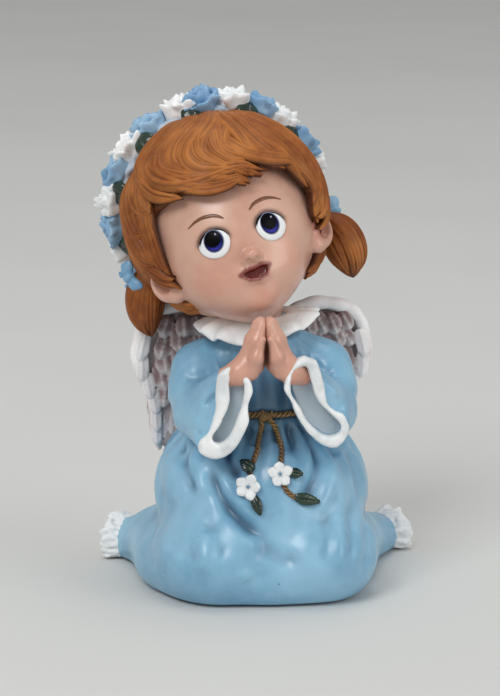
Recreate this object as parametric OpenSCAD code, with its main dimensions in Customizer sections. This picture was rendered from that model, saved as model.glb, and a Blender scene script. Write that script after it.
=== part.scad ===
// Kneeling angel figurine with praying hands, in painted cast resin.
// Millimetres, Z up. The figure faces -Y and its own left side is at +X.
// The origin is on the table, in the middle of the felt pad that it rests on.

/* [Robe] */
// Half width of the skirt over the hips
hip_half_w = 31; // [29:0.5:33]
// How far the knees reach in front of the origin
knee_reach = 40; // [38:1:42]
// Height of the waist, where the cord belt lies
waist_z = 52; // [51:0.5:53]
// Height of the shoulders
shoulder_z = 68; // [67:0.5:69]

/* [Head] */
// Sideways tilt of the head towards the figure's right shoulder
head_tilt = 16.5; // [14:0.5:19]
// How far the face looks up
head_lift = 22; // [19:1:25]
// Turn of the face towards the figure's left
head_turn = 5; // [2:1:8]
// Radius of the skull under the hair
skull_r = 25.5; // [25:0.5:26]
// Thickness of the hair over the skull
hair_t = 4; // [3.5:0.25:4.5]

/* [Wreath] */
// How far the wreath leans back on the crown
wreath_lean = 49; // [46:1:52]
// Number of roses round the wreath, alternately white and blue
rose_count = 22; // [20:2:24]
// Radius of one rose
rose_r = 3.9; // [3.4:0.1:4]

/* [Wings] */
// Half span over both wings
wing_half_span = 35; // [33:1:37]
// Number of long flight feathers in a wing
flight_feathers = 7; // [5:1:8]

/* [Hidden] */

gap = 0.1;          // glue line between two castings
pad_t = 1.2;        // felt pad
pad_recess = 0.8;   // how far the pad sits up inside the skirt's rim
floor_z = pad_t - pad_recess;
panel_t = 3;        // a wing's panel
feather_t = 0.7;
peg_r = 2.2;        // locating pegs of the wings
peg_l = 8;
peg_at = [3, 0, -1];
neck_r = 7;
smooth = 20;        // segments of the soft forms

ear_mid = [-5.5, -5.7, 94];          // middle of the line between the ears
skull_c = [0, 2, 12.5];              // in the head's frame: X its left, Y back, Z up
hair_c = [0, 3, 15];
hair_r = skull_r + hair_t;
band_lat = [26, 38];                 // the wreath's ring lies between these latitudes of the hair
band_t = 2.4;
bell_c = [0, -3, 27];                // the skirt's bell
bell_r = [hip_half_w, 30.5, 25];
bow_turn = 102;
bow_drop = 12.5;
hem_left = [40.5, 30, 7];
hem_right = [-38, 26, 7];
palms_x = -1.4;                      // the plane where the two palms meet
cuff_tilt = [12, 22];                // right cuff, left cuff
cuff_half_l = [14, 15];
wing_root = [7, 11, 64];

blue = "#7fb0d0";
white = "#f1efe9";
skin = "#dcaa92";
hair = "#a5602c";
green = "#20402c";
gold = "#8a6a38";
feather = "#cdbfbb";

// A soft form: an ellipsoid with its middle at c and half sizes r
module blob(c, r, fn = smooth) {
    translate(c) hull() scale(r) sphere(1, $fn = fn);
}

// A chain of soft forms, each joined to the next
module chain(points, radii, fn = 14) {
    for (i = [0 : len(points) - 2]) hull() {
        translate(points[i]) sphere(radii[i], $fn = fn);
        translate(points[i + 1]) sphere(radii[i + 1], $fn = fn);
    }
}

// Points on the curve from a to c that b pulls, in n steps
function bend(a, b, c, n) = [for (i = [0 : n]) let (t = i / n)
    a * (1 - t) * (1 - t) + b * 2 * t * (1 - t) + c * t * t];
function steps(a, b, n) = [for (i = [0 : n]) a + (b - a) * i / n];

module head_pose() {
    translate(ear_mid) rotate([-head_lift, -head_tilt, head_turn]) children();
}

module above_table(z = floor_z) {
    intersection() {
        children();
        translate([-80, -80, z]) cube([160, 160, 200]);
    }
}

// side is 1 on the figure's left and -1 on its right
function hem(side) = side > 0 ? hem_left : hem_right;

// The dress as one soft form, its skin moved in by inset
module robe_form(inset = 0, fn = smooth) {
    r = [inset, inset, inset];
    above_table(floor_z + inset) {
        blob(bell_c, bell_r - r, fn + 8);
        hull() for (s = [-1, 1]) blob([s * 13, 19.5 - knee_reach, 12], [19, 19.5, 16] - r, fn);
        for (s = [-1, 1]) hull() {
            blob([s * 16, 2, 9], [15, 22, 13] - r, fn);
            blob(hem(s) - [s * 5, 4, 0], [6.5, 6, 7.5] - r * 0.9, fn - 6);
        }
        hull() {
            blob([0, 2, 36], [25, 21, 11] - r, fn);
            blob([0, -3, waist_z], [16, 15, 5.1] - r, fn);
        }
        hull() {
            blob([0, -3, waist_z], [16, 15, 5.1] - r, fn);
            blob([0, -4, shoulder_z - 2], [17.5, 12, 8] - r, fn);
        }
        blob([-1, -6, shoulder_z + 3], [12, 10, 5.5] - r, fn);
    }
}

module skull_form(grow = 0, fn = smooth) {
    r = [grow, grow, grow];
    blob(skull_c, [skull_r, skull_r, skull_r] + r, fn);
    blob([0, -1, 1], [23, 21.5, 20] + r, fn);
    hull() {
        for (s = [-1, 1]) blob([s * 10, -8.5, -5], [12, 12, 11] + r, fn);
        blob([0, -10, -11], [10, 9, 8] + r, fn);
    }
    blob([0, -22.5, -1.5], [2.2, 2.2, 1.8] + r, 12);
}

module ear(s) {
    translate([s * 23.5, 0.5, 0]) rotate([0, s * 12, 0]) difference() {
        hull() scale([3.2, 4, 6.2]) sphere(1, $fn = 16);
        translate([s * 2.2, -3, 0]) hull() scale([1.6, 2.6, 4]) sphere(1, $fn = 12);
    }
}

module neck(grow = 0) {
    translate([-1.5, -6.5, shoulder_z - 2]) cylinder(r = neck_r + grow, h = 16, $fn = 32);
}

module head_form(grow = 0, fn = smooth) {
    head_pose() skull_form(grow, fn);
    neck(grow);
}

module head() {
    color(skin) {
        head_form();
        head_pose() for (s = [-1, 1]) ear(s);
    }
}

module eye(s) {
    color("white") difference() {
        head_pose() translate([s * 8.5, -19.2, 4.2]) rotate([-4, 0, s * 20])
            hull() scale([4.4, 3.2, 4.2]) sphere(1, $fn = 20);
        head_form(gap / 2);
    }
}

module hair_form() {
    translate(hair_c) sphere(hair_r, $fn = 30);
    // nape
    hull() {
        blob([0, 12, 4], [20, 16, 10]);
        blob([0, 12, -4], [16, 11, 8]);
    }
}

// The opening that the face looks out of, below the hairline
module face_window() {
    hull() {
        blob([1, -30, 12], [19, 22, 11], 18);
        blob([0, -28, -22], [25, 22, 14], 18);
    }
    for (s = [-1, 1]) hull() {
        blob([s * 26, -4, 2], [8, 5, 6], 14);
        blob([s * 22, -10, -12], [10, 9, 10], 14);
    }
}

// A point in the head's frame, sunk a little into the hair
function in_hair(turn, lift, depth) = hair_c
    + (hair_r - depth) * [sin(turn) * cos(lift), -cos(turn) * cos(lift), sin(lift)];

// Locks that sweep over the brow, and one in front of each ear
module locks() {
    chain([for (t = steps(0, 1, 5)) in_hair(38 - 76 * t, 34 - 22 * t, 3.5)], [3.5, 4.5, 5, 5, 4.4, 3]);
    for (s = [-1, 1])
        chain([for (t = steps(0, 1, 3)) in_hair(s * (52 + 8 * t), 24 - 42 * t, 3.5)], [4.5, 4.2, 3.4, 2]);
}

module hair_cap() {
    color(hair) difference() {
        head_pose() difference() {
            union() {
                difference() {
                    hair_form();
                    face_window();
                }
                locks();
            }
            for (s = [-1, 1]) ear(s);
        }
        head_form(gap);
        robe_form();
        for (s = [-1, 1]) wing_form(s);
    }
}

// Tie points of the pigtails, on the figure's left and right
function tie(s) = s > 0 ? [21, 6, 106.5] : [-33, 6, 91.5];
function tail_tip(s) = s > 0 ? [26.5, 6, 89] : [-33.5, 6, 73];

module pigtail(s) {
    top = tie(s) + (tail_tip(s) - tie(s)) * 0.2;
    fat = s > 0 ? 5.6 : 4.4;
    color(hair) difference() {
        chain(bend(top, (top + tail_tip(s)) / 2 + [s * 3, 0, 0], tail_tip(s), 6),
              fat * [0.55, 0.8, 0.95, 1, 0.95, 0.75, 0.3], 16);
        head_form(gap);
        robe_form();
        head_pose() ear(s);
        hair_ball(gap);
        hull() bow_form(s);
    }
}

module hair_ball(grow = 0) {
    head_pose() translate(hair_c) sphere(hair_r + grow, $fn = 48);
}

// The bow lies on the hair behind the ear, its two loops above and below the knot
module bow_form(s) {
    head_pose() translate(hair_c) rotate([0, 0, s * bow_turn]) rotate([bow_drop, 0, 0])
        translate([0, -hair_r - gap - 2.1, 0]) {
            sphere(1.9, $fn = 24);
            for (a = [0, 180]) rotate([0, a, 0]) translate([0, 0, 1.2])
                cylinder(r1 = 1, r2 = 2.2, h = 3.2, $fn = 24);
        }
}

module bow(s) {
    color(blue) bow_form(s);
}

module on_wreath() {
    head_pose() translate(hair_c) rotate([-wreath_lean, 0, 0]) children();
}

// A point over the hair at a latitude of the wreath's own sphere
function over_hair(lat, height) = (hair_r + gap + height) * [cos(lat), sin(lat)];

module wreath_ring() {
    color("#a9c0d2") on_wreath() rotate_extrude($fn = 72) polygon(concat(
        [for (lat = steps(band_lat[0], band_lat[1], 4)) over_hair(lat, 0)],
        [for (lat = steps(band_lat[1], band_lat[0], 4)) over_hair(lat, band_t)]
    ));
}

// A rose in bloom, its foot on the band and its axis out along +X
module rose() {
    rotate([0, 90, 0]) rotate_extrude($fn = 40) polygon([
        [0, 0], [rose_r * 0.6, 0], [rose_r, 2.4], [rose_r * 0.95, 4.6], [rose_r * 0.72, 5.2],
        [rose_r * 0.78, 6.4], [rose_r * 0.45, 7.2], [rose_r * 0.2, 6.6], [0, 6.9]
    ]);
}

module round_wreath(turn, lat, height) {
    rotate([0, 0, turn]) rotate([0, -lat, 0]) translate([hair_r + gap + height, 0, 0]) children();
}

module roses(first, shade) {
    mid = (band_lat[0] + band_lat[1]) / 2;
    color(shade) on_wreath() for (i = [first : 2 : rose_count - 1])
        round_wreath(i * 360 / rose_count, mid, band_t + gap) rose();
}

// A pointed leaf lying in XY, its stem at the origin and its tip along +X
module leaf(length, width, thick) {
    r = (length * length + width * width) / (4 * width);
    linear_extrude(thick) intersection() {
        translate([length / 2, r - width / 2]) circle(r, $fn = 180);
        translate([length / 2, width / 2 - r]) circle(r, $fn = 180);
    }
}

// Leaves that lie on the band's lower edge and point down the hair
module wreath_leaves() {
    pitch = 360 / rose_count;
    color(green) on_wreath() for (i = [0 : 2 : rose_count - 1])
        round_wreath((i + 0.5) * pitch, band_lat[0] + 1, band_t + gap)
            rotate([0, 90, 0]) leaf(7.5, 5, 1);
}

module collar() {
    color(white) difference() {
        translate([-1.5, -7, shoulder_z + 5.5]) rotate([8, -5, 0]) scale([1, 0.85, 1])
            rotate_extrude($fn = 40) polygon([[6, 3.2], [15.5, -1.8], [17.5, -3], [17.5, -0.5], [15.5, 1.6], [8, 6]]);
        robe_form(-gap);
        head_form(gap);
        for (s = [-1, 1]) sleeve_form(s);
    }
}

// Upper arm from the shoulder to the elbow, then the bell of the sleeve
function elbow(s) = [s * 17.6, -14, 54];
function cuff_c(s) = s > 0 ? [12, -31, 59] : [-12.5, -31, 57];
function cuff_pair(s, v) = s > 0 ? v[1] : v[0];

module sleeve_form(s) {
    chain(bend([s * 11, -4, shoulder_z - 1], [s * 21, -6, 64], elbow(s), 4), [7.6, 8, 8.2, 8.2, 8.2], 16);
    hull() {
        translate(elbow(s)) sphere(8.2, $fn = 20);
        cuff_pose(s) translate([0, 0, -2.2]) linear_extrude(2) cuff_outline(s, 0);
    }
}

module cuff_pose(s) {
    translate(cuff_c(s)) rotate([90, 0, s * 18]) rotate([0, 0, s * cuff_pair(s, cuff_tilt)]) children();
}

// A long loop that is wider at its lower end
module cuff_outline(s, inset) {
    l = cuff_pair(s, cuff_half_l);
    hull() {
        translate([0, l - 5]) circle(5 - inset, $fn = 24);
        translate([0, 7.4 - l]) circle(7.4 - inset, $fn = 24);
    }
}

module sleeve(s) {
    color(blue) difference() {
        sleeve_form(s);
        robe_form(-gap);
        cuff_pose(s) translate([0, 0, -4]) linear_extrude(10) cuff_outline(s, 3.2);
        hand_form(s, gap);
        sleeve_cut(s);
        head_form(gap);
    }
}

// Keeps the two sleeves apart
module sleeve_cut(s) {
    translate([s > 0 ? palms_x - 59.5 : palms_x + 0.5, -60, 30]) cube([59, 60, 60]);
}

module cuff(s) {
    color(white) difference() {
        cuff_pose(s) linear_extrude(4) difference() {
            cuff_outline(s, 0);
            cuff_outline(s, 3.2);
        }
        hand_form(s, gap);
        robe_form(-gap);
        sleeve_cut(s);
    }
}

// Half of the praying hands, from the wrist in the sleeve to the finger tips
module hand_form(s, grow = 0) {
    translate([palms_x, 0, 0]) {
        chain([[s * 9.5, -26, 60], [s * 7, -31, 65.5], [s * 4.2, -32.5, 71]],
              [3.4, 3.9, 4.4] + [grow, grow, grow], 16);
        chain(bend([s * 4, -32.5, 71], [s * 3.4, -33, 77], [s * 1.5, -32.5, 81.5], 4),
              [4.4, 4.1, 3.6, 2.9, 2.1] + [for (i = [0 : 4]) grow], 16);
        chain(bend([s * 3.6, -36, 69], [s * 2.6, -37.2, 74], [s * 1.6, -36, 77.5], 3),
              [2.3, 2.2, 1.9, 1.5] + [for (i = [0 : 3]) grow], 12);
    }
}

module hand(s) {
    color(skin) intersection() {
        hand_form(s);
        translate([s > 0 ? palms_x + gap / 2 : palms_x - 40 - gap / 2, -60, 40]) cube([40, 60, 60]);
    }
}

// Where the robe ends in a ruffle round each foot
module hem_pose(s) {
    translate(hem(s)) rotate([0, 0, -s * 52]) rotate([-90, 0, 0]) children();
}

module hem_trim(s) {
    lumps = 9;
    color(white) above_table() difference() {
        hem_pose(s) {
            rotate_extrude($fn = 27) translate([5.8, 0]) circle(1.6, $fn = 10);
            for (i = [0 : lumps - 1]) rotate([0, 0, i * 360 / lumps]) translate([6, 0, 0.9])
                sphere(1.9, $fn = 12);
        }
        robe_form(-gap);
    }
}

module foot(s) {
    color(skin) above_table() difference() {
        hem_pose(s) union() {
            chain(steps([0, 0.5, -2], [0, 0.5, 5], 4), [3.9, 3.9, 3.8, 3.5, 2.8], 16);
        }
        robe_form(-gap);
    }
}

// Wing panel, standing behind the shoulder
module wing_pose(s) {
    translate([s * wing_root[0], wing_root[1], wing_root[2]]) mirror([s > 0 ? 0 : 1, 0, 0])
        rotate([90, 0, 10]) children();
}

module wing_outline() {
    k = (wing_half_span - wing_root[0]) / 29;
    scale([k, 1]) hull() {
        translate([4, 4]) circle(7, $fn = 24);
        translate([17, 8]) circle(9, $fn = 24);
        translate([21, -4]) circle(8, $fn = 24);
        translate([17, -20]) circle(5, $fn = 24);
    }
}

module wing_form(s) {
    wing_pose(s) translate([0, 0, -panel_t]) linear_extrude(panel_t) offset(0.2) wing_outline();
}

module wing(s) {
    color(feather) difference() {
        wing_pose(s) translate([0, 0, -panel_t]) linear_extrude(panel_t) wing_outline();
        robe_form(-gap);
    }
    color(feather) wing_pose(s) translate(peg_at) cylinder(r = peg_r, h = peg_l, $fn = 32);
}

// Three rows of short overlapping feathers on the front of the panel
module wing_coverts(s) {
    color(feather) wing_pose(s) for (row = [0 : 2], i = [0 : 4 - row])
        let (level = 1.2 * row + 0.5 * (i % 2) + gap)
        translate([11 + i * 4 - row * 0.5, 13 - row * 7 - i * 1.5, level])
            rotate([0, 0, -62 - i * 6]) leaf(11, 6, 0.6);
}

// Long feathers behind the panel, fanned from the wing's wrist
module wing_flight_feathers(s) {
    color(feather) wing_pose(s) for (i = [0 : flight_feathers - 1])
        let (f = i / (flight_feathers - 1), level = 0.7 * (i % 2))
        translate([22 - f * 13, 2 - f * 5, -panel_t - gap - feather_t - level]) rotate([0, 0, -84 - f * 8])
            leaf(16 + 16 * (1 - f), 6, feather_t);
}

// A place on the front of the skirt's bell: its y, and how far the skin there faces up
function bell_y(x, z) = bell_c[1] - bell_r[1]
    * sqrt(1 - pow((x - bell_c[0]) / bell_r[0], 2) - pow((z - bell_c[2]) / bell_r[2], 2));
function bell_lean(x, z) =
    atan2((z - bell_c[2]) / pow(bell_r[2], 2), (bell_c[1] - bell_y(x, z)) / pow(bell_r[1], 2));

module on_bell(x, z, turn = 0) {
    translate([x, bell_y(x, z) - gap, z]) rotate([90 - bell_lean(x, z), 0, atan(x / bell_r[0])])
        rotate([0, 0, turn]) children();
}

// The gold cord round the waist
module rope_belt() {
    color(gold) difference() {
        translate([0, -3, waist_z]) scale([1, 0.94, 1])
            rotate_extrude($fn = 48) translate([16.9, 0]) circle(1.15, $fn = 12);
        robe_form(-gap);
        for (s = [-1, 1]) sleeve_form(s);
        translate([-2.8, -24, waist_z - 3]) cube([5.6, 8, 6]);
    }
}

module knot_form(grow = 0) {
    hull() for (x = [-1, 1]) translate([x, -19, waist_z]) sphere(1.6 + grow, $fn = 16);
}

module belt_knot() {
    color(gold) difference() {
        knot_form();
        robe_form(-gap);
    }
}

// Route of each free end of the cord down the skirt, as x and z
function cord_route(s) = s > 0
    ? bend([1.3, waist_z - 1.5], [5.2, 46], [3.2, 40.8], 4)
    : bend([-1.2, waist_z - 1.5], [-2.6, 45], [-4.8, 38.8], 4);

module cord_end(s) {
    color(gold) difference() {
        chain([for (p = cord_route(s)) [p[0], min(bell_y(p[0], min(p[1], 49)), -19) - 0.8, p[1]]],
              [1, 1, 1, 1, 1], 12);
        robe_form(-gap);
        knot_form(gap);
    }
}

// Sprays of flowers and leaves at the ends of the cord, as x and z
function flower_at(s) = s > 0 ? [2.5, 37.4] : [-6, 34.6];

module belt_flowers() {
    color(white) for (s = [-1, 1]) on_bell(flower_at(s)[0], flower_at(s)[1]) difference() {
        linear_extrude(1.6) for (a = [0 : 72 : 288]) rotate([0, 0, a + 18 + s * 10])
            translate([1.9, 0]) circle(1.35, $fn = 20);
        translate([0, 0, 1]) cylinder(r = 0.9, h = 1, $fn = 20);
    }
}

module flower_centres() {
    color(blue) for (s = [-1, 1]) on_bell(flower_at(s)[0], flower_at(s)[1])
        translate([0, 0, 1.05]) cylinder(r = 0.85, h = 0.8, $fn = 20);
}

module belt_leaves() {
    color(green) {
        on_bell(-5.6, 38.2, 120) leaf(4.2, 3, 0.8);
        on_bell(-4.6, 31.4, -75) leaf(5.4, 2.8, 0.8);
        on_bell(6.6, 37, 10) leaf(3.8, 2.8, 0.8);
        on_bell(7, 31, -15) leaf(7.5, 3, 0.8);
    }
}

module base_outline(grow = 0) {
    hull() {
        for (s = [-1, 1]) {
            translate([s * 13, 19.5 - knee_reach]) circle(10 + grow, $fn = 40);
            translate([s * 15, 3]) circle(9 + grow, $fn = 40);
        }
        translate([0, 8]) circle(7 + grow, $fn = 40);
    }
}

module base_pad() {
    color("#4a4a48") linear_extrude(pad_t) base_outline();
}

module robe_body() {
    color(blue) difference() {
        robe_form();
        // seat of the felt pad
        translate([0, 0, -1]) linear_extrude(1 + pad_t + gap) base_outline(gap);
        neck(gap);
        for (s = [-1, 1]) wing_pose(s) translate(peg_at)
            cylinder(r = peg_r + gap, h = peg_l + gap, $fn = 32);
    }
}

robe_body();
base_pad();
collar();
head();
hair_cap();
eye(1);  // left_eye
eye(-1);  // right_eye
pigtail(1);  // left_pigtail
pigtail(-1);  // right_pigtail
bow(1);  // left_bow
bow(-1);  // right_bow
sleeve(1);  // left_sleeve
sleeve(-1);  // right_sleeve
cuff(1);  // left_cuff
cuff(-1);  // right_cuff
hand(1);  // left_hand
hand(-1);  // right_hand
foot(1);  // left_foot
foot(-1);  // right_foot
hem_trim(1);  // left_hem_trim
hem_trim(-1);  // right_hem_trim
wing(1);  // left_wing
wing(-1);  // right_wing
wing_coverts(1);  // left_wing_coverts
wing_coverts(-1);  // right_wing_coverts
wing_flight_feathers(1);  // left_wing_flight_feathers
wing_flight_feathers(-1);  // right_wing_flight_feathers
wreath_ring();
roses(0, white);  // white_roses
roses(1, blue);  // blue_roses
wreath_leaves();
rope_belt();
belt_knot();
cord_end(1);  // left_cord_end
cord_end(-1);  // right_cord_end
belt_flowers();
flower_centres();
belt_leaves();
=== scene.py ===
"""Looks of a kneeling angel figurine in hand-painted cast resin, built round its CAD frame.

Shapes are worked out in millimetres, in the frame's own axes: +Z up, -Y the way the figure faces
and +X its own left. Soft castings are modelled as distance fields and meshed. Petals, leaves,
feathers, ribbons and locks of hair are swept or lofted grids.
"""
import math

import bpy
import numpy as np
import openvdb as vdb
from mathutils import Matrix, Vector
from mathutils.bvhtree import BVHTree
from mathutils.kdtree import KDTree


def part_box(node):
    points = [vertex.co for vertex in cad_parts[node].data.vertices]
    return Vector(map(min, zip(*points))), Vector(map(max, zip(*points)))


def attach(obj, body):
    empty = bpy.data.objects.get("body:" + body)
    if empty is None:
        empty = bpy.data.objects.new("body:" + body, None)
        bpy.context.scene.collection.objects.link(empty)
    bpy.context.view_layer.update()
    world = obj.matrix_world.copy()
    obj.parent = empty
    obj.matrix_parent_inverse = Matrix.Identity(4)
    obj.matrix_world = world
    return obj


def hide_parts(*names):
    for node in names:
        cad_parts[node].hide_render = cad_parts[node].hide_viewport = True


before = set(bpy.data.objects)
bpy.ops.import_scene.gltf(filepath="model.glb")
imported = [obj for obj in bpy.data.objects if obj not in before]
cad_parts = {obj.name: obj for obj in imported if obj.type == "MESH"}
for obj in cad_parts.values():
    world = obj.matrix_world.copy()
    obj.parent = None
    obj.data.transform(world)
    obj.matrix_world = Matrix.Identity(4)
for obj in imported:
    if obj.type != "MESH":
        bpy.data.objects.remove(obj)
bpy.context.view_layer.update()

MM = 0.001
SIDES = {1: "left", -1: "right"}    # the sign of x on each side of the figure, and how its nodes begin
GOLDEN = 2.399963  # radians between one turn and the next that never line up
rng = np.random.default_rng(7)


# ---------------------------------------------------------------- places, from the frame

def mm_box(node):
    low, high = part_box(node)
    return np.array(low) / MM, np.array(high) / MM


def middle(node):
    low, high = mm_box(node)
    return (low + high) / 2


HAIR_R = 29.5       # the hair is a ball of this radius
HEAD_LIFT = 22.0    # degrees that the face looks up
HEAD_TILT = 16.5    # degrees that the crown leans to the figure's right
HEAD_TURN = 5.0     # degrees that the face turns to the figure's left
HAIR_AT = np.array([0.0, 3.0, 15.0])  # the ball's middle in the head's frame, from between the ears

cap_low, cap_high = mm_box("hair_cap")
hair_mid = np.array([cap_low[0] + HAIR_R, cap_high[1] - HAIR_R, cap_high[2] - HAIR_R])


def turned(degrees, axis):
    """A turn about the axis 0, 1 or 2, as a matrix."""
    c, s = math.cos(math.radians(degrees)), math.sin(math.radians(degrees))
    i, j = [(1, 2), (2, 0), (0, 1)][axis]
    m = np.eye(3)
    m[i, i], m[i, j], m[j, i], m[j, j] = c, -s, s, c
    return m


HEAD_AXES = turned(HEAD_TURN, 2) @ turned(-HEAD_TILT, 1) @ turned(-HEAD_LIFT, 0)
head_at = hair_mid - HEAD_AXES @ HAIR_AT


def from_head(points):
    return np.asarray(points) @ HEAD_AXES.T + head_at


def to_head(points):
    return (np.asarray(points) - head_at) @ HEAD_AXES


# ---------------------------------------------------------------- numbers and noise

def unit(v):
    """Vectors brought to a length of 1."""
    v = np.asarray(v, float)
    return v / np.maximum(np.linalg.norm(v, axis=-1, keepdims=True), 1e-9)


def ease(low, high, v):
    """0 at low and before it, 1 at high and past it, and smooth between them."""
    t = np.clip((v - low) / (high - low), 0, 1)
    return t * t * (3 - 2 * t)


def noise(points, seed=0):
    """Smooth noise from -1 to 1, with lumps one unit apart."""
    points = np.asarray(points, float)
    cell = np.floor(points).astype(np.int64)
    f = points - cell
    f = f * f * (3 - 2 * f)
    total = np.zeros(len(points))
    for corner in range(8):
        step = np.array([corner & 1, corner >> 1 & 1, corner >> 2 & 1])
        c = cell + step
        h = (c[:, 0] * 73856093 ^ c[:, 1] * 19349663 ^ c[:, 2] * 83492791 ^ (seed + 1) * 2654435) & 0xFFFFFFFF
        h = (h ^ (h >> 15)) * 2246822519 & 0xFFFFFFFF
        h = (h ^ (h >> 13)) * 3266489917 & 0xFFFFFFFF
        value = ((h ^ (h >> 16)) & 0xFFFF) / 32767.5 - 1
        total += value * np.prod(np.where(step, f, 1 - f), axis=1)
    return total


def rough_noise(points, octaves, seed):
    """Noise with finer and finer lumps, each half as strong as the last."""
    points = np.asarray(points, float)
    return sum(noise(points * 2 ** k, seed + k) / 2 ** k for k in range(octaves))


def curve(points, count):
    """A smooth curve through points, as count points evenly spread over its stretches."""
    p = np.asarray(points, float)
    p = np.vstack([2 * p[0] - p[1], p, 2 * p[-1] - p[-2]])
    t = np.linspace(0, len(p) - 3 - 1e-9, count)
    k = t.astype(int)
    u = (t - k)[:, None]
    a, b, c, d = p[k], p[k + 1], p[k + 2], p[k + 3]
    bend = (2 * a - 5 * b + 4 * c - d) * u ** 2 + (3 * b - a - 3 * c + d) * u ** 3
    return 0.5 * (2 * b + (c - a) * u + bend)


# ---------------------------------------------------------------- distance fields

def ball(p, at, radius):
    """Distance to a ball, or to an oval with a radius along each axis."""
    r = np.broadcast_to(np.asarray(radius, np.float32), 3)
    q = [(p[i] - np.float32(at[i])) / r[i] for i in range(3)]
    k = np.sqrt(q[0] ** 2 + q[1] ** 2 + q[2] ** 2)
    g = np.sqrt((q[0] / r[0]) ** 2 + (q[1] / r[1]) ** 2 + (q[2] / r[2]) ** 2)
    return k * (k - 1) / np.maximum(g, 1e-4)


def rod(p, a, b, ra, rb):
    """A round rod from a to b that tapers from radius ra to rb."""
    a, b = np.float32(a), np.float32(b)
    ab = b - a
    q = [p[i] - a[i] for i in range(3)]
    t = np.clip((q[0] * ab[0] + q[1] * ab[1] + q[2] * ab[2]) / float(ab @ ab), 0, 1)
    d = np.sqrt(sum((q[i] - t * ab[i]) ** 2 for i in range(3)))
    return d - (ra + (rb - ra) * t)


def chain(p, points, radii, blend):
    """Rods end to end, with a radius at each point."""
    rods = zip(points, points[1:], radii, radii[1:])
    return join(blend, *[rod(p, *ends) for ends in rods])


def join(blend, first, *others):
    """The union of distance fields, rounded where they meet."""
    for other in others:
        h = np.clip(0.5 + 0.5 * (other - first) / blend, 0, 1)
        first = other + (first - other) * h - blend * h * (1 - h)
    return first


def carve(blend, field, tool):
    return -join(blend, -field, tool)


def column(p, rows):
    """An upright form whose oval section is given in rows: height, half width, half depth, middle y."""
    z = p[2][0, 0, :]
    h = curve(rows, 200)
    a, b, m = [np.interp(z, h[:, 0], h[:, k]).astype(np.float32) for k in (1, 2, 3)]
    d = (np.sqrt((p[0] / a) ** 2 + ((p[1] - m) / b) ** 2) - 1) * np.minimum(a, b)
    return np.maximum(d, np.maximum(p[2] - np.float32(rows[-1, 0]), np.float32(rows[0, 0]) - p[2]))


def skin_of(field, band, step, low):
    """Quads on the zero level of a distance field, facing outwards."""
    grid = vdb.FloatGrid(band)
    grid.copyFromArray(field)
    points, _, quads = grid.convertToPolygons(isovalue=0.0, adaptivity=0.0)
    points = points.astype(float) * step + low
    quads = quads.astype(np.int64)
    a, b, c, d = (points[quads[:, k]] for k in range(4))
    if np.einsum("ij,ij->i", a, np.cross(c - a, d - b)).sum() < 0:
        quads = quads[:, ::-1]
    return points, quads


def solid(low, high, step, shape):
    """Meshes a solid: shape gives the distance to its skin over a grid of points."""
    low = np.asarray(low, float)
    axes = [np.arange(a, b + step, step, dtype=np.float32) for a, b in zip(low, high)]
    field = shape(np.meshgrid(*axes, indexing="ij"))
    band = 3 * step
    return skin_of(np.clip(field, -band, band).astype(np.float32), band, step, low)


def normals(points, quads):
    """The way the surface faces at each point."""
    face = np.cross(points[quads[:, 2]] - points[quads[:, 0]], points[quads[:, 3]] - points[quads[:, 1]])
    total = np.stack([np.bincount(quads.ravel(), np.repeat(face[:, k], 4), len(points)) for k in range(3)], 1)
    return unit(total)


def spread(values, quads, count, rounds=1):
    """Averages a value with its neighbours' a few times."""
    ends = np.concatenate([quads, np.roll(quads, 1, 1), np.roll(quads, -1, 1)]).ravel()
    others = np.concatenate([np.roll(quads, 1, 1), quads, quads]).ravel()
    weight = np.bincount(ends, minlength=count)
    values = np.asarray(values, float)
    for _ in range(rounds):
        if values.ndim == 1:
            values = np.bincount(ends, values[others], count) / weight
        else:
            values = np.stack([np.bincount(ends, values[others, k], count) / weight for k in range(3)], 1)
    return values


def hollows(points, quads, reach, strength):
    """How deep each point lies in a hollow of its surface, from 0 to 1: where the dark wash gathers, and
    where painted shade is laid.
    """
    n = normals(points, quads)
    far = spread(points, quads, len(points), reach)
    depth = np.einsum("ij,ij->i", far - points, n)
    return np.clip(spread(depth, quads, len(points), 2) * strength, 0, 1)


def near(points, route, width):
    """1 on a route and 0 away from it, fading to nothing at both its ends."""
    line = curve(route, 6 * len(route))
    best = np.full(len(points), 1e9)
    along = np.zeros(len(points))
    for k in range(len(line) - 1):
        a, ab = line[k], line[k + 1] - line[k]
        t = np.clip((points - a) @ ab / max(ab @ ab, 1e-9), 0, 1)
        d = np.sum((points - a - t[:, None] * ab) ** 2, axis=1)
        closer = d < best
        best[closer] = d[closer]
        along[closer] = (k + t[closer]) / (len(line) - 1)
    return np.exp(-best / width ** 2) * ease(0, 0.25, along) * ease(0, 0.3, 1 - along)


# ---------------------------------------------------------------- grids, tubes and pieces

class Form:
    """Points, faces and a value of dark paint for each point, the wash and the painted shade, gathered from
    many parts.
    """

    def __init__(self):
        self.points, self.faces, self.wash, self.count = [], [], [], 0

    def add(self, points, faces, wash=0.0):
        points = np.asarray(points, float).reshape(-1, 3)
        self.points.append(points)
        self.wash.append(np.broadcast_to(np.ravel(wash), len(points)))
        if isinstance(faces, np.ndarray):
            self.faces += (faces + self.count).tolist()
        else:
            self.faces += [[i + self.count for i in f] for f in faces]
        self.count += len(points)


def around(side, up, angle):
    """Directions at an angle round an axis, from side towards up."""
    return side * np.cos(angle)[..., None] + up * np.sin(angle)[..., None]


def ring_of(count):
    """Angles evenly spread over a full turn."""
    return np.linspace(0, 2 * math.pi, count, endpoint=False)


TURNED_OVER = [0, 3, 2, 1]      # the corners of a quad that faces the other way


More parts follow.
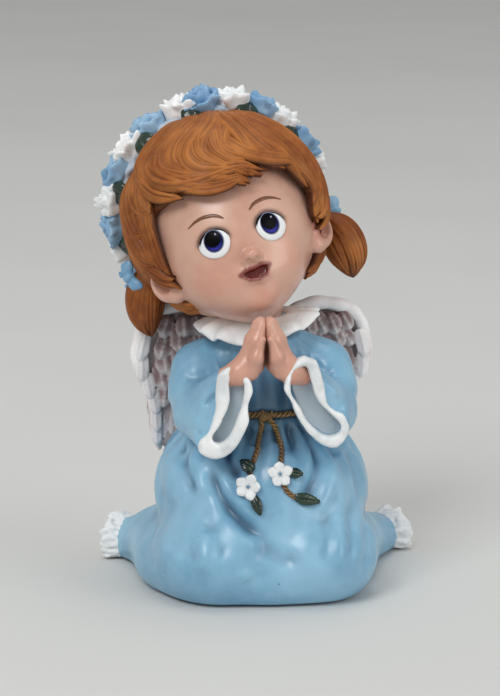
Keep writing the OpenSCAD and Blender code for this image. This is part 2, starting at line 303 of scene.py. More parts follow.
def weave(rows, cols, closed_rows, closed_cols=False, first=0):
    """Quads over a grid of points that are numbered row by row."""
    index = first + np.arange(rows * cols).reshape(rows, cols)
    if closed_rows:
        index = np.vstack([index, index[:1]])
    if closed_cols:
        index = np.hstack([index, index[:, :1]])
    return np.stack([index[:-1, :-1], index[1:, :-1], index[1:, 1:], index[:-1, 1:]], -1).reshape(-1, 4)


def fan(tip, first, sides, flip=False):
    """Triangles from a tip to a ring of points that begins at point first."""
    ring = [(first + k, first + (k + 1) % sides) for k in range(sides)]
    return [[tip, b, a] if flip else [tip, a, b] for a, b in ring]


def thick_grid(points, thick, edge, closed=False):
    """A sheet of rows and columns of points made into a closed shell. Its edges are rounded over a share
    of its width, and closed joins the last row to the first."""
    rows, cols = points.shape[:2]
    if closed:
        du = (np.roll(points, -1, 0) - np.roll(points, 1, 0)) / 2
    else:
        du = np.gradient(points, axis=0)
    n = unit(np.cross(du, np.gradient(points, axis=1)))
    v = np.minimum(np.linspace(0, 1, cols), np.linspace(1, 0, cols))[None, :] / edge
    if not closed:
        u = np.minimum(np.linspace(0, 1, rows), np.linspace(1, 0, rows))[:, None] / edge
        v = np.minimum(u, v)
    v = np.clip(np.broadcast_to(v, (rows, cols)), 0, 1)
    half = thick / 2 * (0.12 + 0.88 * np.sqrt(1 - (1 - v) ** 2))
    top = points + n * half[..., None]
    under = points - n * half[..., None]
    quads = weave(rows, cols, closed)
    shift = rows * cols
    index = np.arange(shift).reshape(rows, cols)
    left, right = index[:, 0], index[:, -1]
    if closed:
        left, right = np.append(left, left[0]), np.append(right, right[0])
    rims = [(left[1:], left[:-1]), (right[:-1], right[1:])]
    if not closed:
        rims += [(index[0, :-1], index[0, 1:]), (index[-1, 1:], index[-1, :-1])]
    faces = [quads, quads[:, ::-1] + shift] + [np.stack([a, b, b + shift, a + shift], -1) for a, b in rims]
    return np.concatenate([top.reshape(-1, 3), under.reshape(-1, 3)]), np.concatenate(faces)


def frames(path, closed=False, start=(0, 0, 1)):
    """Side and lift directions that turn with a path without twisting."""
    if closed:
        tangent = unit(np.roll(path, -1, 0) - np.roll(path, 1, 0))
    else:
        tangent = unit(np.gradient(path, axis=0))
    lift = np.array(start, float)
    lifts = []
    for t in tangent:
        lift = unit(lift - t * (lift @ t))
        lifts.append(lift)
    lifts = np.array(lifts)
    return np.cross(tangent, lifts), lifts, tangent


def tube(form, path, radius, sides, closed=False, start=(0, 0, 1), lifts=None, flat=1.0, groove=None,
         wash=0.0):
    """Adds a round or flat tube along a path. groove(angle, along) gives a factor on its radius, and
    the dark wash and painted shade are laid where that is low."""
    path = np.asarray(path, float)
    side, lift, tangent = frames(path, closed, start)
    if lifts is not None:
        lift = unit(lifts - tangent * np.sum(lifts * tangent, 1, keepdims=True))
        side = np.cross(tangent, lift)
    rings = len(path)
    angle = ring_of(sides)
    factor = np.ones((rings, sides))
    if groove:
        factor = factor * groove(angle[None, :], np.linspace(0, 1, rings)[:, None])
    r = np.broadcast_to(np.asarray(radius, float), rings)[:, None] * factor
    points = (path[:, None] + side[:, None] * (r * np.cos(angle))[..., None]
              + lift[:, None] * (r * flat * np.sin(angle))[..., None]).reshape(-1, 3)
    low = np.clip(wash + (1 - factor).ravel() * 5, 0, 0.95)
    faces = weave(rings, sides, closed, True)[:, ::-1].tolist()
    if not closed:
        last = len(points)
        faces += fan(last, 0, sides) + fan(last + 1, last - sides, sides, True)
        points = np.vstack([points, path[0], path[-1]])
        low = np.append(low, [0, 0])
    form.add(points, faces, low)


def piece(name, form, paint_name, *nodes, slot=None):
    """Makes one visible piece that stands for CAD nodes. slot is not used."""
    points = np.concatenate(form.points) * MM
    mesh = bpy.data.meshes.new(name)
    mesh.from_pydata(points.tolist(), [], form.faces)
    mesh.validate()
    mesh.update()
    mesh.shade_smooth()
    mesh.materials.append(PAINTS[paint_name])
    made = bpy.data.objects.new(name, mesh)
    bpy.context.scene.collection.objects.link(made)
    layer(made, "wash", np.concatenate(form.wash))
    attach(made, "root")
    if nodes:
        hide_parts(*nodes)
    return made


def moulded(name, points, quads, wash, paint_name, *nodes):
    """Makes a piece of one mesh."""
    form = Form()
    form.add(points, quads, wash)
    return piece(name, form, paint_name, *nodes)


def layer(made, name, values):
    """Keeps a number for each point of a piece, for its paint to read."""
    made.data.attributes.new(name, "FLOAT", "POINT").data.foreach_set("value", np.asarray(values, np.float32))


# ---------------------------------------------------------------- materials

def srgb(red, green, blue):
    c = np.array([red, green, blue]) / 255
    return (*np.where(c <= 0.04045, c / 12.92, ((c + 0.055) / 1.055) ** 2.4).tolist(), 1.0)


class Nodes:
    """Short ways to add and join shader nodes."""

    def __init__(self, name):
        self.material = bpy.data.materials.new(name)
        self.material.use_nodes = True
        self.tree = self.material.node_tree
        self.shader = self.tree.nodes["Principled BSDF"]
        self.place = self.add("ShaderNodeTexCoord").outputs["Object"]

    def set(self, socket, value):
        self.shader.inputs[socket].default_value = value

    def add(self, kind, **settings):
        node = self.tree.nodes.new(kind)
        for key, value in settings.items():
            setattr(node, key, value)
        return node

    def link(self, source, target):
        self.tree.links.new(source, target)

    def noise(self, scale, detail, stretch=None):
        node = self.add("ShaderNodeTexNoise")
        node.inputs["Scale"].default_value = scale
        node.inputs["Detail"].default_value = detail
        where = self.place
        if stretch:
            mapping = self.add("ShaderNodeMapping")
            mapping.inputs["Scale"].default_value = stretch
            self.link(self.place, mapping.inputs["Vector"])
            where = mapping.outputs["Vector"]
        self.link(where, node.inputs["Vector"])
        return node.outputs["Fac"]

    def ramp(self, source, low, high, to_low=0.0, to_high=1.0):
        node = self.add("ShaderNodeMapRange", interpolation_type="SMOOTHSTEP")
        for key, value in zip(("From Min", "From Max", "To Min", "To Max"), (low, high, to_low, to_high)):
            node.inputs[key].default_value = value
        self.link(source, node.inputs["Value"])
        return node.outputs["Result"]

    def mix(self, factor, first, second):
        """Mixes two colours or sockets by a factor socket."""
        node = self.add("ShaderNodeMix", data_type="RGBA")
        self.link(factor, node.inputs["Factor"])
        for value, socket in ((first, node.inputs[6]), (second, node.inputs[7])):
            if isinstance(value, tuple):
                socket.default_value = value
            else:
                self.link(value, socket)
        return node.outputs[2]

    def times(self, first, second):
        node = self.add("ShaderNodeMath", operation="MULTIPLY")
        self.link(first, node.inputs[0])
        if isinstance(second, float):
            node.inputs[1].default_value = second
        else:
            self.link(second, node.inputs[1])
        return node.outputs[0]

    def attribute(self, name):
        return self.add("ShaderNodeAttribute", attribute_name=name).outputs["Fac"]

    def bump(self, height, strength, distance):
        node = self.add("ShaderNodeBump")
        node.inputs["Strength"].default_value = strength
        node.inputs["Distance"].default_value = distance
        self.link(height, node.inputs["Height"])
        self.link(node.outputs["Normal"], self.shader.inputs["Normal"])


def paint(name, main, pale, wash, rough, coat, relief, specks=0.0, layers=()):
    """Brushed paint on cast resin: two tones, a dark colour for the wash in the hollows and for painted
    shade, specks and brush marks.
    layers are the names and colours of more paint, laid on where a piece's layer of that name says."""
    n = Nodes(name)
    colour = n.mix(n.ramp(n.noise(70, 4), 0.35, 0.68), srgb(*main), srgb(*pale))
    colour = n.mix(n.ramp(n.noise(420, 3), 0.42, 0.72, 0.0, 0.3), colour, srgb(*pale))
    # the dark wash in the hollows, and painted shade where a piece lays it
    colour = n.mix(n.attribute("wash"), colour, srgb(*wash))
    if specks:
        cells = n.add("ShaderNodeTexVoronoi")
        cells.inputs["Scale"].default_value = 210
        n.link(n.place, cells.inputs["Vector"])
        dot = n.ramp(cells.outputs["Distance"], 0.035, 0.07, 1.0, 0.0)
        few = n.ramp(n.noise(120, 2), 0.56, 0.6)
        colour = n.mix(n.times(n.times(dot, few), specks), colour, srgb(28, 32, 36))
    for layer_name, tone in layers:
        colour = n.mix(n.attribute(layer_name), colour, srgb(*tone))
    n.link(colour, n.shader.inputs["Base Color"])
    n.link(n.ramp(n.noise(160, 3), 0.3, 0.7, *rough), n.shader.inputs["Roughness"])
    n.set("Coat Weight", coat)
    n.set("Coat Roughness", 0.22)
    n.bump(n.noise(520, 5), relief, 0.0004)
    return n


def brow_paint():
    """Brown varnish with a little unevenness."""
    n = Nodes("brow_paint")
    colour = srgb(116, 64, 32)
    darker = tuple(0.7 * c for c in colour[:3]) + (1.0,)
    n.link(n.mix(n.ramp(n.noise(900, 2), 0.4, 0.7), colour, darker), n.shader.inputs["Base Color"])
    n.link(n.ramp(n.noise(500, 2), 0.3, 0.7, 0.4, 0.5), n.shader.inputs["Roughness"])
    n.set("Coat Weight", 0.5)
    n.bump(n.noise(800, 3), 0.05, 0.0002)
    return n.material


def felt():
    n = Nodes("felt")
    fibres = n.noise(2600, 6, (1.0, 0.35, 1.0))
    colour = n.mix(n.ramp(fibres, 0.35, 0.7), srgb(38, 38, 40), srgb(84, 84, 88))
    n.link(colour, n.shader.inputs["Base Color"])
    n.set("Roughness", 0.95)
    n.set("Sheen Weight", 0.4)
    n.bump(fibres, 0.6, 0.0004)
    return n.material


# Each paint: its main, pale and dark colours (the dark one for its wash and painted shade), range of
# roughness, varnish, relief, specks and layers
paints = {name: paint(name, *row) for name, row in {
    "robe_paint": ((120, 170, 201), (144, 191, 218), (42, 70, 98), (0.3, 0.44), 0.25, 0.07, 0.8,
                   [("lining", (172, 186, 196))]),
    "white_trim": ((226, 230, 232), (246, 248, 248), (128, 136, 146), (0.38, 0.55), 0.12, 0.25, 0.7),
    "skin_paint": ((204, 156, 136), (216, 172, 152), (150, 92, 72), (0.28, 0.38), 0.3, 0.03, 0.0,
                   # the line layer is the painted eye lines, with painted shade in the lid creases and down
                   # the seam of the hands; the blush layer is rosy paint, laid darker in the ear cups as
                   # painted shade
                   [("blush", (208, 132, 112)), ("lips", (118, 42, 34)), ("mouth", (112, 14, 10)),
                    ("line", (84, 46, 30))]),
    "hair_paint": ((138, 72, 24), (184, 114, 52), (54, 22, 8), (0.46, 0.62), 0.05, 0.14, 0.2),
    "wing_paint": ((230, 224, 224), (250, 249, 249), (106, 66, 68), (0.45, 0.6), 0.08, 0.3, 0.4),
    "gold_cord": ((92, 58, 28), (196, 152, 88), (14, 6, 3), (0.24, 0.38), 0.4, 0.4),
    "leaf_paint": ((11, 36, 26), (26, 58, 36), (4, 12, 9), (0.16, 0.3), 0.5, 0.3),
    "blue_rose_paint": ((104, 152, 196), (150, 186, 214), (50, 84, 128), (0.4, 0.54), 0.1, 0.25, 0.6),
    "white_rose_paint": ((232, 236, 238), (250, 250, 250), (150, 158, 168), (0.38, 0.52), 0.15, 0.25, 0.8),
    "wreath_paint": ((158, 180, 202), (196, 208, 222), (92, 104, 122), (0.38, 0.52), 0.15, 0.2, 0.4),
    "bow_paint": ((108, 158, 196), (160, 196, 220), (40, 62, 84), (0.36, 0.5), 0.15, 0.2, 0.4),
}.items()}
paints["hair_paint"].set("Specular IOR Level", 0.3)
paints["skin_paint"].set("Subsurface Weight", 0.12)
paints["skin_paint"].set("Subsurface Scale", 0.002)
paints["skin_paint"].set("Subsurface Radius", (1.0, 0.4, 0.25))
PAINTS = {name: n.material for name, n in paints.items()}
PAINTS["brow_paint"] = brow_paint()
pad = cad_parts["base_pad"].data.materials
pad.clear()
pad.append(felt())


# ---------------------------------------------------------------- robe

robe_low, robe_high = mm_box("robe_body")
WAIST_Z = middle("rope_belt")[2]
BELL_AT = np.array([0.0, -3.0, WAIST_Z - 25.0])
BELL_R = np.array([31.0, 30.5, 25.0])
KNEE_R = np.array([19.0, 19.5, 16.0])
HEM_DROP = {1: 3.2, -1: 2.0}        # the hems hang this far below the middles of their CAD nodes
hem_at = {side: middle(SIDES[side] + "_hem_trim") - (0, 0, HEM_DROP[side]) for side in SIDES}

# Folds of the skirt: route as x and z, width, and how deep it is cut or, below 0, how far it stands out
FOLDS = [
    ([(-16.5, 41.5), (-15.8, 36), (-13.2, 30.2), (-9.1, 25.6), (-4.6, 22.0), (0.4, 19.3)], 1.5, 2.3),
    ([(-11.1, 48), (-11.6, 43), (-10.4, 39), (-8.4, 34.9)], 1.7, 2.4),
    ([(-13.9, 42), (-13.2, 36.5), (-10.4, 31.5), (-6, 27.2), (-1, 24.6)], 1.5, -1.3),
    ([(12.3, 48), (14.8, 43), (14.1, 36.9), (11.5, 32.3), (7.5, 28.9)], 1.7, 2.4),
    ([(17.5, 42), (17.8, 36), (15.5, 30), (11, 26)], 1.8, -1.2),
    ([(6.5, 50.2), (7.2, 46), (6, 41.5)], 1.3, 1.7),
    ([(-23.2, 45.5), (-23.9, 40), (-22.5, 34.5), (-20, 29.8)], 1.3, 1.9),
    ([(-20.5, 42), (-20.2, 36), (-17.5, 30.5)], 1.6, -0.9),
    ([(-28.5, 43), (-31.0, 37), (-31.2, 30.8), (-29.5, 24)], 1.6, 1.6),
    ([(-26.2, 40), (-27.4, 34), (-26, 27)], 1.8, -0.7),
    ([(18.8, 45), (21, 39.5)], 1.3, 1.2),
    ([(24.5, 43), (27, 35), (27.6, 26)], 1.5, 1.3),
    ([(-3.5, 49.5), (-4.2, 44)], 1.2, 1.3),
    ([(1.5, 49.5), (2.4, 45)], 1.1, 1.1),
    ([(-5.6, 20.5), (0.4, 16.2), (4.4, 14.9), (8.5, 17)], 2.0, 1.1),
    ([(-14, 27), (-8, 21), (-2, 17.2)], 1.9, -1.1),
    ([(-19, 26), (-16, 20), (-12, 15)], 2.2, 0.8),
    ([(19.5, 39), (20.5, 28), (19.5, 17), (19, 10)], 2.2, -1.1),
    ([(16, 28), (15.5, 20), (13, 12)], 2.4, 0.9),
    ([(22.5, 30), (23, 20), (22, 12)], 1.8, 1.0),
    ([(-17.5, 24), (-18.5, 17), (-20.5, 10)], 2.0, -1.0),
    ([(-30, 20), (-25, 17), (-20, 18)], 2.6, 1.0),
    ([(28.5, 24), (28.5, 16), (26, 9)], 1.8, 1.1),
    ([(-9, 12), (-7, 8.5)], 1.3, -0.6),
]

# The trunk of the robe: height, half width, half depth and middle y
TRUNK = np.array([
    (30, 28, 26, 0), (36, 27, 24, 0), (42, 23.5, 20.5, -1), (47, 19.3, 17, -2), (WAIST_Z, 16.2, 15, -3),
    (56, 16.4, 14.6, -3.2), (61, 17.2, 13.6, -3.6), (66, 17, 12.8, -4), (70, 15, 11.6, -5),
    (73.5, 11, 9.2, -6),
])

# The skirt spreads on the floor beside each thigh: the middle and half sizes of that spread
SIDE_OF_SKIRT = {1: ((16, 0, 7.5), (18, 25, 13)), -1: ((-17.5, -3, 7), (19.5, 27, 12.5))}


def robe():
    floor = robe_low[2]
    shoulder = robe_high[2] - 10.0

    def shape(p):
        bell = ball(p, BELL_AT, BELL_R)
        knees = join(9, *[ball(p, (s * 13, -20.5, 12), KNEE_R) for s in (-1, 1)])
        d = join(5, bell, knees, ball(p, (1, -19, 6.5), (17, 18.5, 11)), ball(p, (0, 17, 5), (15, 14, 9)))
        for s in (-1, 1):
            thigh = ball(p, SIDE_OF_SKIRT[s][0], SIDE_OF_SKIRT[s][1])
            shin = rod(p, (s * 20, 1, 9.5), hem_at[s] - np.array([s * 3.5, 2.5, 0.2]), 11.5, 7.2)
            d = join(4, d, join(9, thigh, shin))
        d = join(4, d, column(p, TRUNK))
        for s in (-1, 1):
            d = join(3, d, ball(p, (s * 11, -4, shoulder), (8.5, 8.5, 7.5)))
        return -join(1.4, -d, p[2] - np.float32(floor))

    points, quads = solid(robe_low - (4, 4, 1.2), robe_high + (4, 4, 3), 0.6, shape)
    n = normals(points, quads)
    x, y, z = points.T
    facing = ease(-0.05, 0.35, -n[:, 1])
    height = np.zeros(len(points))
    flat = points[:, [0, 2]]
    for route, width, depth in FOLDS:
        height -= depth * near(flat, np.array(route, float), 1.3 * width) * facing
    # gathers under the belt, all the way round
    turn = np.arctan2(x, -(y + 3))
    pleat = np.sin(turn * 26 + 2.5 * noise(np.stack([turn * 2, z * 0.05, x * 0], 1), 3))
    below = ease(WAIST_Z - 1, WAIST_Z - 4, z) * np.exp(-np.maximum(WAIST_Z - 4 - z, 0) / 9)
    height += (0.75 * pleat - 0.2) * below
    # long soft folds at the sides and back, fading towards the floor
    long_fold = np.sin(turn * 9 + 3 * noise(np.stack([turn * 1.5, z * 0.03, x * 0], 1), 5))
    behind = ease(0.25, -0.3, -n[:, 1]) * ease(WAIST_Z, WAIST_Z - 10, z) * ease(2, 14, z)
    height += 1.1 * long_fold * behind
    # creases in the bodice
    upper = ease(WAIST_Z, WAIST_Z + 3, z)
    height += 0.35 * upper * np.sin(turn * 17 + 3 * noise(points * 0.09, 9))
    # the belt presses a waist into the cloth
    height -= 0.9 * np.exp(-((z - WAIST_Z) / 1.3) ** 2) * ease(24, 18, np.hypot(x, y + 3))
    height += 0.12 * rough_noise(points * 0.16, 3, 11)
    points = points + n * (height * ease(floor + 0.2, floor + 3, z))[:, None]
    points[:, 2] = np.maximum(points[:, 2], floor)
    points = points + 0.5 * (spread(points, quads, len(points)) - points)
    # the dark in the folds is partly airbrushed darker paint in the recesses and partly painted shade
    wash = hollows(points, quads, 14, 1.5)
    # painted shade on the front between the sleeves, from under the hands down below the belt
    front = ease(0.0, 0.5, -n[:, 1]) * ease(WAIST_Z - 18, WAIST_Z + 2, z)
    front = front * ease(74, 60, z) * ease(19, 12, np.abs(x + 1))
    wash = np.clip(wash * 0.8 + 0.68 * front, 0, 0.82)
    moulded("robe", points, quads, wash, "robe_paint", "robe_body")
    return BVHTree.FromPolygons(points.tolist(), quads.tolist())


# ---------------------------------------------------------------- sleeves and cuffs

# Cuffs as x and z: the outer edge, then the slot that the sleeve opens through
CUFF_EDGES = {
    -1: ([(-10.5, 70.5), (-14.5, 67.6), (-15.6, 63), (-15.4, 57), (-17, 51.5), (-20, 47.6), (-19.4, 44.4),
          (-15.8, 43), (-12, 44.8), (-9.2, 48), (-6.7, 53.5), (-6.4, 58.5), (-5.3, 63.4), (-6.8, 67)],
         [(-11.2, 65.5), (-11.2, 60), (-13.4, 53.8), (-15.8, 49.4), (-14.6, 47.8), (-12.2, 49.6),
          (-9.8, 54.5), (-8.4, 60), (-8, 65)]),
    1: ([(8.9, 72.4), (13, 70.6), (14.8, 65), (15.8, 59), (18.2, 55.8), (21.4, 54.4), (22.9, 50.5), (21, 47),
         (17.6, 45.8), (13.8, 47.2), (10, 50.7), (7.2, 55.6), (5.2, 60), (3.6, 64), (5.4, 69)],
        [(9.6, 69), (11.2, 63), (14.4, 57.6), (18.9, 53), (19.2, 50), (15.8, 49.8), (11.2, 53.6),
         (8.0, 58.6), (5.6, 63.5), (6.4, 68)]),
}


def loop_distance(x, z, corners):
    """Distance to a closed smooth outline in x and z, below 0 inside it."""
    ring = np.array(corners + corners[:3], float)
    line = curve(ring, 12 * len(ring))
    line = line[12:12 + 12 * len(corners)]
    best = np.full(x.shape, 1e9, np.float32)
    inside = np.zeros(x.shape, bool)
    for a, b in zip(line, np.roll(line, -1, 0)):
        ab = b - a
        t = np.clip(((x - a[0]) * ab[0] + (z - a[1]) * ab[1]) / max(ab @ ab, 1e-9), 0, 1)
        best = np.minimum(best, (x - a[0] - t * ab[0]) ** 2 + (z - a[1] - t * ab[1]) ** 2)
        if a[1] != b[1]:
            crossing = (a[1] > z) != (b[1] > z)
            inside ^= crossing & (x < a[0] + (z - a[1]) / (b[1] - a[1]) * ab[0])
    return np.where(inside, -np.sqrt(best), np.sqrt(best))


SLOT_MORE = 0.45                    # the slots are this much wider than their outlines
CUFF_SLANT = math.radians(18)       # the cuffs turn this far away from each other


def cuff_plane(side):
    """The name of a cuff, its box, and the distance behind its slanting middle plane."""
    name = SIDES[side] + "_cuff"
    low, high = mm_box(name)
    x_mid, y_mid, _ = (low + high) / 2

    def behind(x, y):
        return y - y_mid - side * math.tan(CUFF_SLANT) * (x - x_mid)

    return name, low, high, behind


def cuff(side):
    name, low, high, behind = cuff_plane(side)
    outer, slot = CUFF_EDGES[side]
    half, rounding = 1.9, 1.1

    def shape(p):
        gx, gz = np.meshgrid(p[0][:, 0, 0], p[2][0, 0, :], indexing="ij")
        band = np.maximum(loop_distance(gx, gz, outer), SLOT_MORE - loop_distance(gx, gz, slot))[:, None, :]
        sheet = np.abs(behind(p[0], p[1]) + 0.4) - half
        q = np.maximum(band + rounding, 0) ** 2 + np.maximum(sheet + rounding, 0) ** 2
        return np.sqrt(q) - rounding + np.minimum(np.maximum(band, sheet) + rounding, 0)

    points, quads = solid(low - (4, 3, 3), high + (4, 3, 3), 0.4, shape)
    ripple = noise(points * (0.22, 0.1, 0.22), 21 + side) * 0.6 + 0.12 * noise(points * 0.8, 23)
    points = points + normals(points, quads) * ripple[:, None] * 0.8
    wash = hollows(points, quads, 8, 2.2) + 0.25 * ease(0.2, 0.9, noise(points * 0.3, 8))
    moulded(name + "_band", points, quads, np.clip(wash, 0, 0.8), "white_trim", name)


# Creases of the sleeves: route as x and z, width and depth
CREASES = {
    -1: [([(-19, 57.5), (-16.6, 60), (-14.6, 62)], 0.9, 0.8),
         ([(-24, 63), (-19, 63.5), (-15, 65.5)], 1.3, 0.7), ([(-22, 52), (-19, 49)], 1.1, 0.5)],
    1: [([(13.8, 67), (17, 64.5), (21, 64)], 1.2, 0.8), ([(19, 61), (21.5, 56)], 1.1, 0.7),
        ([(22, 52), (24, 48.5)], 1.0, 0.5)],
}


def sleeve(side):
    name = SIDES[side] + "_sleeve"
    low, high = mm_box(name)
    behind = cuff_plane(side)[3]
    outer = np.array(CUFF_EDGES[side][0])
    slot = CUFF_EDGES[side][1]
    top = outer[np.argmax(outer[:, 1])] + (0, -4.4)
    foot = outer[np.argmin(outer[:, 1])] + (-side * 0.6, 5.2)
    elbow = np.array([side * 17.6, -13.5, 54.5])

    def shape(p):
        arm = chain(p, [(side * 10, -4, 67), (side * 17.5, -6, 63), (side * 18.6, -10, 57.5), elbow],
                    [7.4, 8.0, 8.0, 7.8], 3)
        spokes = []
        for t in (0, 0.25, 0.5, 0.75, 1):
            x, z = top + (foot - top) * t
            end = np.array([x, 1.5 - behind(x, 0), z])
            spokes.append(rod(p, elbow + (0, -2, -1.5), end, 7.0, 4.0 + 1.6 * t))
        d = join(1.6, arm, join(3.5, *spokes))
        back = behind(p[0], p[1]) - 0.2
        d = -join(0.6, -d, back)
        gx, gz = np.meshgrid(p[0][:, 0, 0], p[2][0, 0, :], indexing="ij")
        inside = loop_distance(gx, gz, slot)[:, None, :] - 0.6
        return carve(0.5, d, np.maximum(inside, back - 1.9))

    points, quads = solid(low - (3, 4, 3), high + (3, 3, 3), 0.45, shape)
    n = normals(points, quads)
    height = 0.22 * rough_noise(points * 0.12, 3, 31 + side)
    for route, width, depth in CREASES[side]:
        height -= depth * near(points[:, [0, 2]], route, width) * ease(0, 0.4, -n[:, 1])
    points = points + n * height[:, None]
    wash = np.clip(hollows(points, quads, 10, 1.6) * 0.8, 0, 0.85)
    made = moulded(name + "_cloth", points, quads, wash, "robe_paint", name)
    x, y, z = points.T
    in_slot = ease(0.5, -0.5, loop_distance(x, z, slot) - 1.2)
    layer(made, "lining", ease(0.6, 1.6, behind(x, y)) * (n[:, 1] < -0.3) * in_slot)


# ---------------------------------------------------------------- hands

SEAM = (mm_box("left_hand")[0][0] + mm_box("right_hand")[1][0]) / 2     # the plane where the palms meet


def hands():
    for side in (1, -1):
        name = SIDES[side] + "_hand"
        low, high = mm_box(name)

        def bend(p, places, radii, blend):
            """A bent limb of one hand: x is measured from the palm."""
            return chain(p, [np.array([SEAM + side * x, y, z]) for x, y, z in places], radii, blend)

        def shape(p):
            arm = bend(p, [(10.4, -31.4, 66.4), (7.2, -33.4, 67.9), (4.3, -32.6, 70.6)], [3.0, 3.5, 3.7], 1.5)
            palm = bend(p, [(3.6, -31.8, 70.5), (2.9, -32.2, 76), (1.6, -31.8, 80.8)], [3.4, 3.0, 2.2], 1.5)
            d = join(2.5, arm, palm)
            for k in range(4):
                tip = (1.15, -30.2 - 1.15 * k, 81.9 - 0.5 * abs(k - 1))
                finger = [(3.1, -29.2 - 1.7 * k, 71), (2.5, -29.6 - 1.5 * k, 77), tip]
                d = join(0.9, d, bend(p, finger, [2.1, 1.8, 1.25], 1.0))
            thumb = [(4.2, -33.8, 68), (2.8, -35.9, 72.4), (1.25, -35.9, 77.3)]
            d = join(0.6, d, bend(p, thumb, [2.4, 2.0, 1.2], 1.0))
            return -join(0.45, -d, side * (p[0] - SEAM) + 0.06)

        points, quads = solid(low - (3, 2, 3), high + (3, 4, 3), 0.3, shape)
        points = points + normals(points, quads) * (0.05 * rough_noise(points * 0.5, 2, 41))[:, None]
        made = moulded(name + "_skin", points, quads, hollows(points, quads, 8, 2.4), "skin_paint", name)
        x, y, z = points.T
        # painted shade down the front of the seam where the palms meet
        groove = ease(1.5, 0.3, np.abs(x - SEAM)) * ease(-33.0, -34.5, y) * ease(78.5, 76, z)
        layer(made, "blush", np.clip(0.12 + 0.3 * ease(70, 64, z), 0, 1))
        layer(made, "line", groove * 0.8)


# ---------------------------------------------------------------- head and face

EYE_X, EYE_Z = 8.3, 3.9      # an eye's middle, in the head's frame
EYE_W, EYE_H = 4.35, 4.1     # its half width and half height
UPPER_LIP = np.array([(-4.4, -20.2, -6.9), (-1.8, -21.9, -6.2), (0.2, -22.1, -6.3), (2.1, -21.9, -5.9),
                      (4.5, -20.1, -6.2)])
LOWER_LIP = np.array([(-4.2, -20.2, -7.2), (-2.2, -21.6, -8.8), (0.3, -22.0, -9.4), (2.6, -21.5, -8.6),
                      (4.3, -20.1, -6.6)])


def mouth_gap(x, z):
    """Distance to the edge of the open mouth, seen from ahead: flat above, with raised corners."""
    p = [x, 0 * x, z]
    return chain(p, [(-3.0, 0, -7.1), (-1.4, 0, -7.5), (0.5, 0, -7.7), (2.2, 0, -7.2), (3.3, 0, -6.6)],
                 [0.35, 1.0, 1.25, 1.15, 0.4], 0.3)


def lip_area(x, z):
    """Distance to the edge of the painted lips, seen from ahead."""
    p = [x, 0 * x, z]
    upper = chain(p, UPPER_LIP * (1, 0, 1), [0.5, 0.8, 0.6, 0.8, 0.5], 0.3)
    lower = chain(p, LOWER_LIP * (1, 0, 1), [0.3, 0.55, 0.6, 0.55, 0.3], 0.3)
    return join(0.3, upper, lower, mouth_gap(x, z))


EAR_Z = {1: 2.2, -1: 1.0}       # height of each ear's middle, in the head's frame


def ear(h, s):
    """An ear's own frame and the distance to its disc, which faces forwards and a little outwards."""
    c, t = math.cos(math.radians(30)), s * math.sin(math.radians(30))
    dx, dy = h[0] - s * 22.6, h[1] + 4.6
    q = [dx * c + dy * t, dy * c - dx * t, h[2] - EAR_Z[s]]
    return q, join(0.8, ball(q, (0, 0, 0), (5.3, 2.5, 6.2)), ball(q, (-s * 1.6, -0.1, -4.4), (2.8, 2.2, 2.7)))


def skin_of_head(h):
    """Distance to the skin, in the head's frame."""
    d = join(6, ball(h, (0, 2, 12.5), 25.5), ball(h, (-1.2, -1, 3.2), (20.2, 21.5, 16.6)))
    d = join(5, d, ball(h, (-1.0, -9, -9.3), (10.4, 11, 9.3)))
    for s in (-1, 1):
        d = join(5, d, ball(h, (s * 7.6 - 1.2, -10.4, -4.4), (8.5, 9.7, 8.8)))
    d = join(3, d, ball(h, (0, -16.5, -12.5), (5, 4, 4.5)))
    d = join(3, d, ball(h, (0, -17.5, -6.5), (7, 4.5, 5)))
    for s in (-1, 1):
        # the lid stands proud above the eye, with a crease over it
        lid = [(s * (EYE_X + EYE_W * 1.06 * math.cos(a)), -20.6 + 1.44 * abs(math.cos(a)),
                EYE_Z + EYE_H * 1.06 * math.sin(a)) for a in np.radians([165, 130, 95, 60, 25])]
        d = join(1.2, d, chain(h, lid, [0.4, 0.75, 0.85, 0.75, 0.4], 0.6))
    d = join(1.6, d, ball(h, (0.2, -23.0, -2.7), (2.5, 2.7, 1.9)))
    for s in (-1, 1):
        d = join(0.7, d, ball(h, (s * 2.0 + 0.2, -22.0, -3.4), (1.3, 1.2, 1.0)))
    d = join(1.2, d, chain(h, UPPER_LIP, [0.3, 0.85, 0.7, 0.85, 0.3], 0.5))
    d = join(1.2, d, chain(h, LOWER_LIP, [0.35, 0.9, 1.1, 0.9, 0.35], 0.5))
    gap = mouth_gap(h[0][:, 0, :], h[2][:, 0, :])[:, None, :]
    d = carve(0.6, d, np.maximum(gap, h[1] + 20.6))
    for s in (-1, 1):
        d = carve(0.5, d, ball(h, (s * 1.2 + 0.2, -24.6, -4.0), (0.5, 0.9, 0.55)))
        q, disc = ear(h, s)
        d = join(1.0, d, disc)
        d = carve(0.6, d, ball(q, (s * 1.3, -2.9, 0.6), (3.2, 3.2, 4.6)))
        d = join(0.7, d, ball(q, (-s * 2.6, -1.3, -0.6), (1.9, 1.8, 3.0)))
    neck_top = to_head(np.array([-2.5, -6.0, 84]))
    neck_foot = to_head(np.array([-1.5, -6.2, 68]))
    return join(4, d, rod(h, neck_foot, neck_top, 8.0, 7.6))


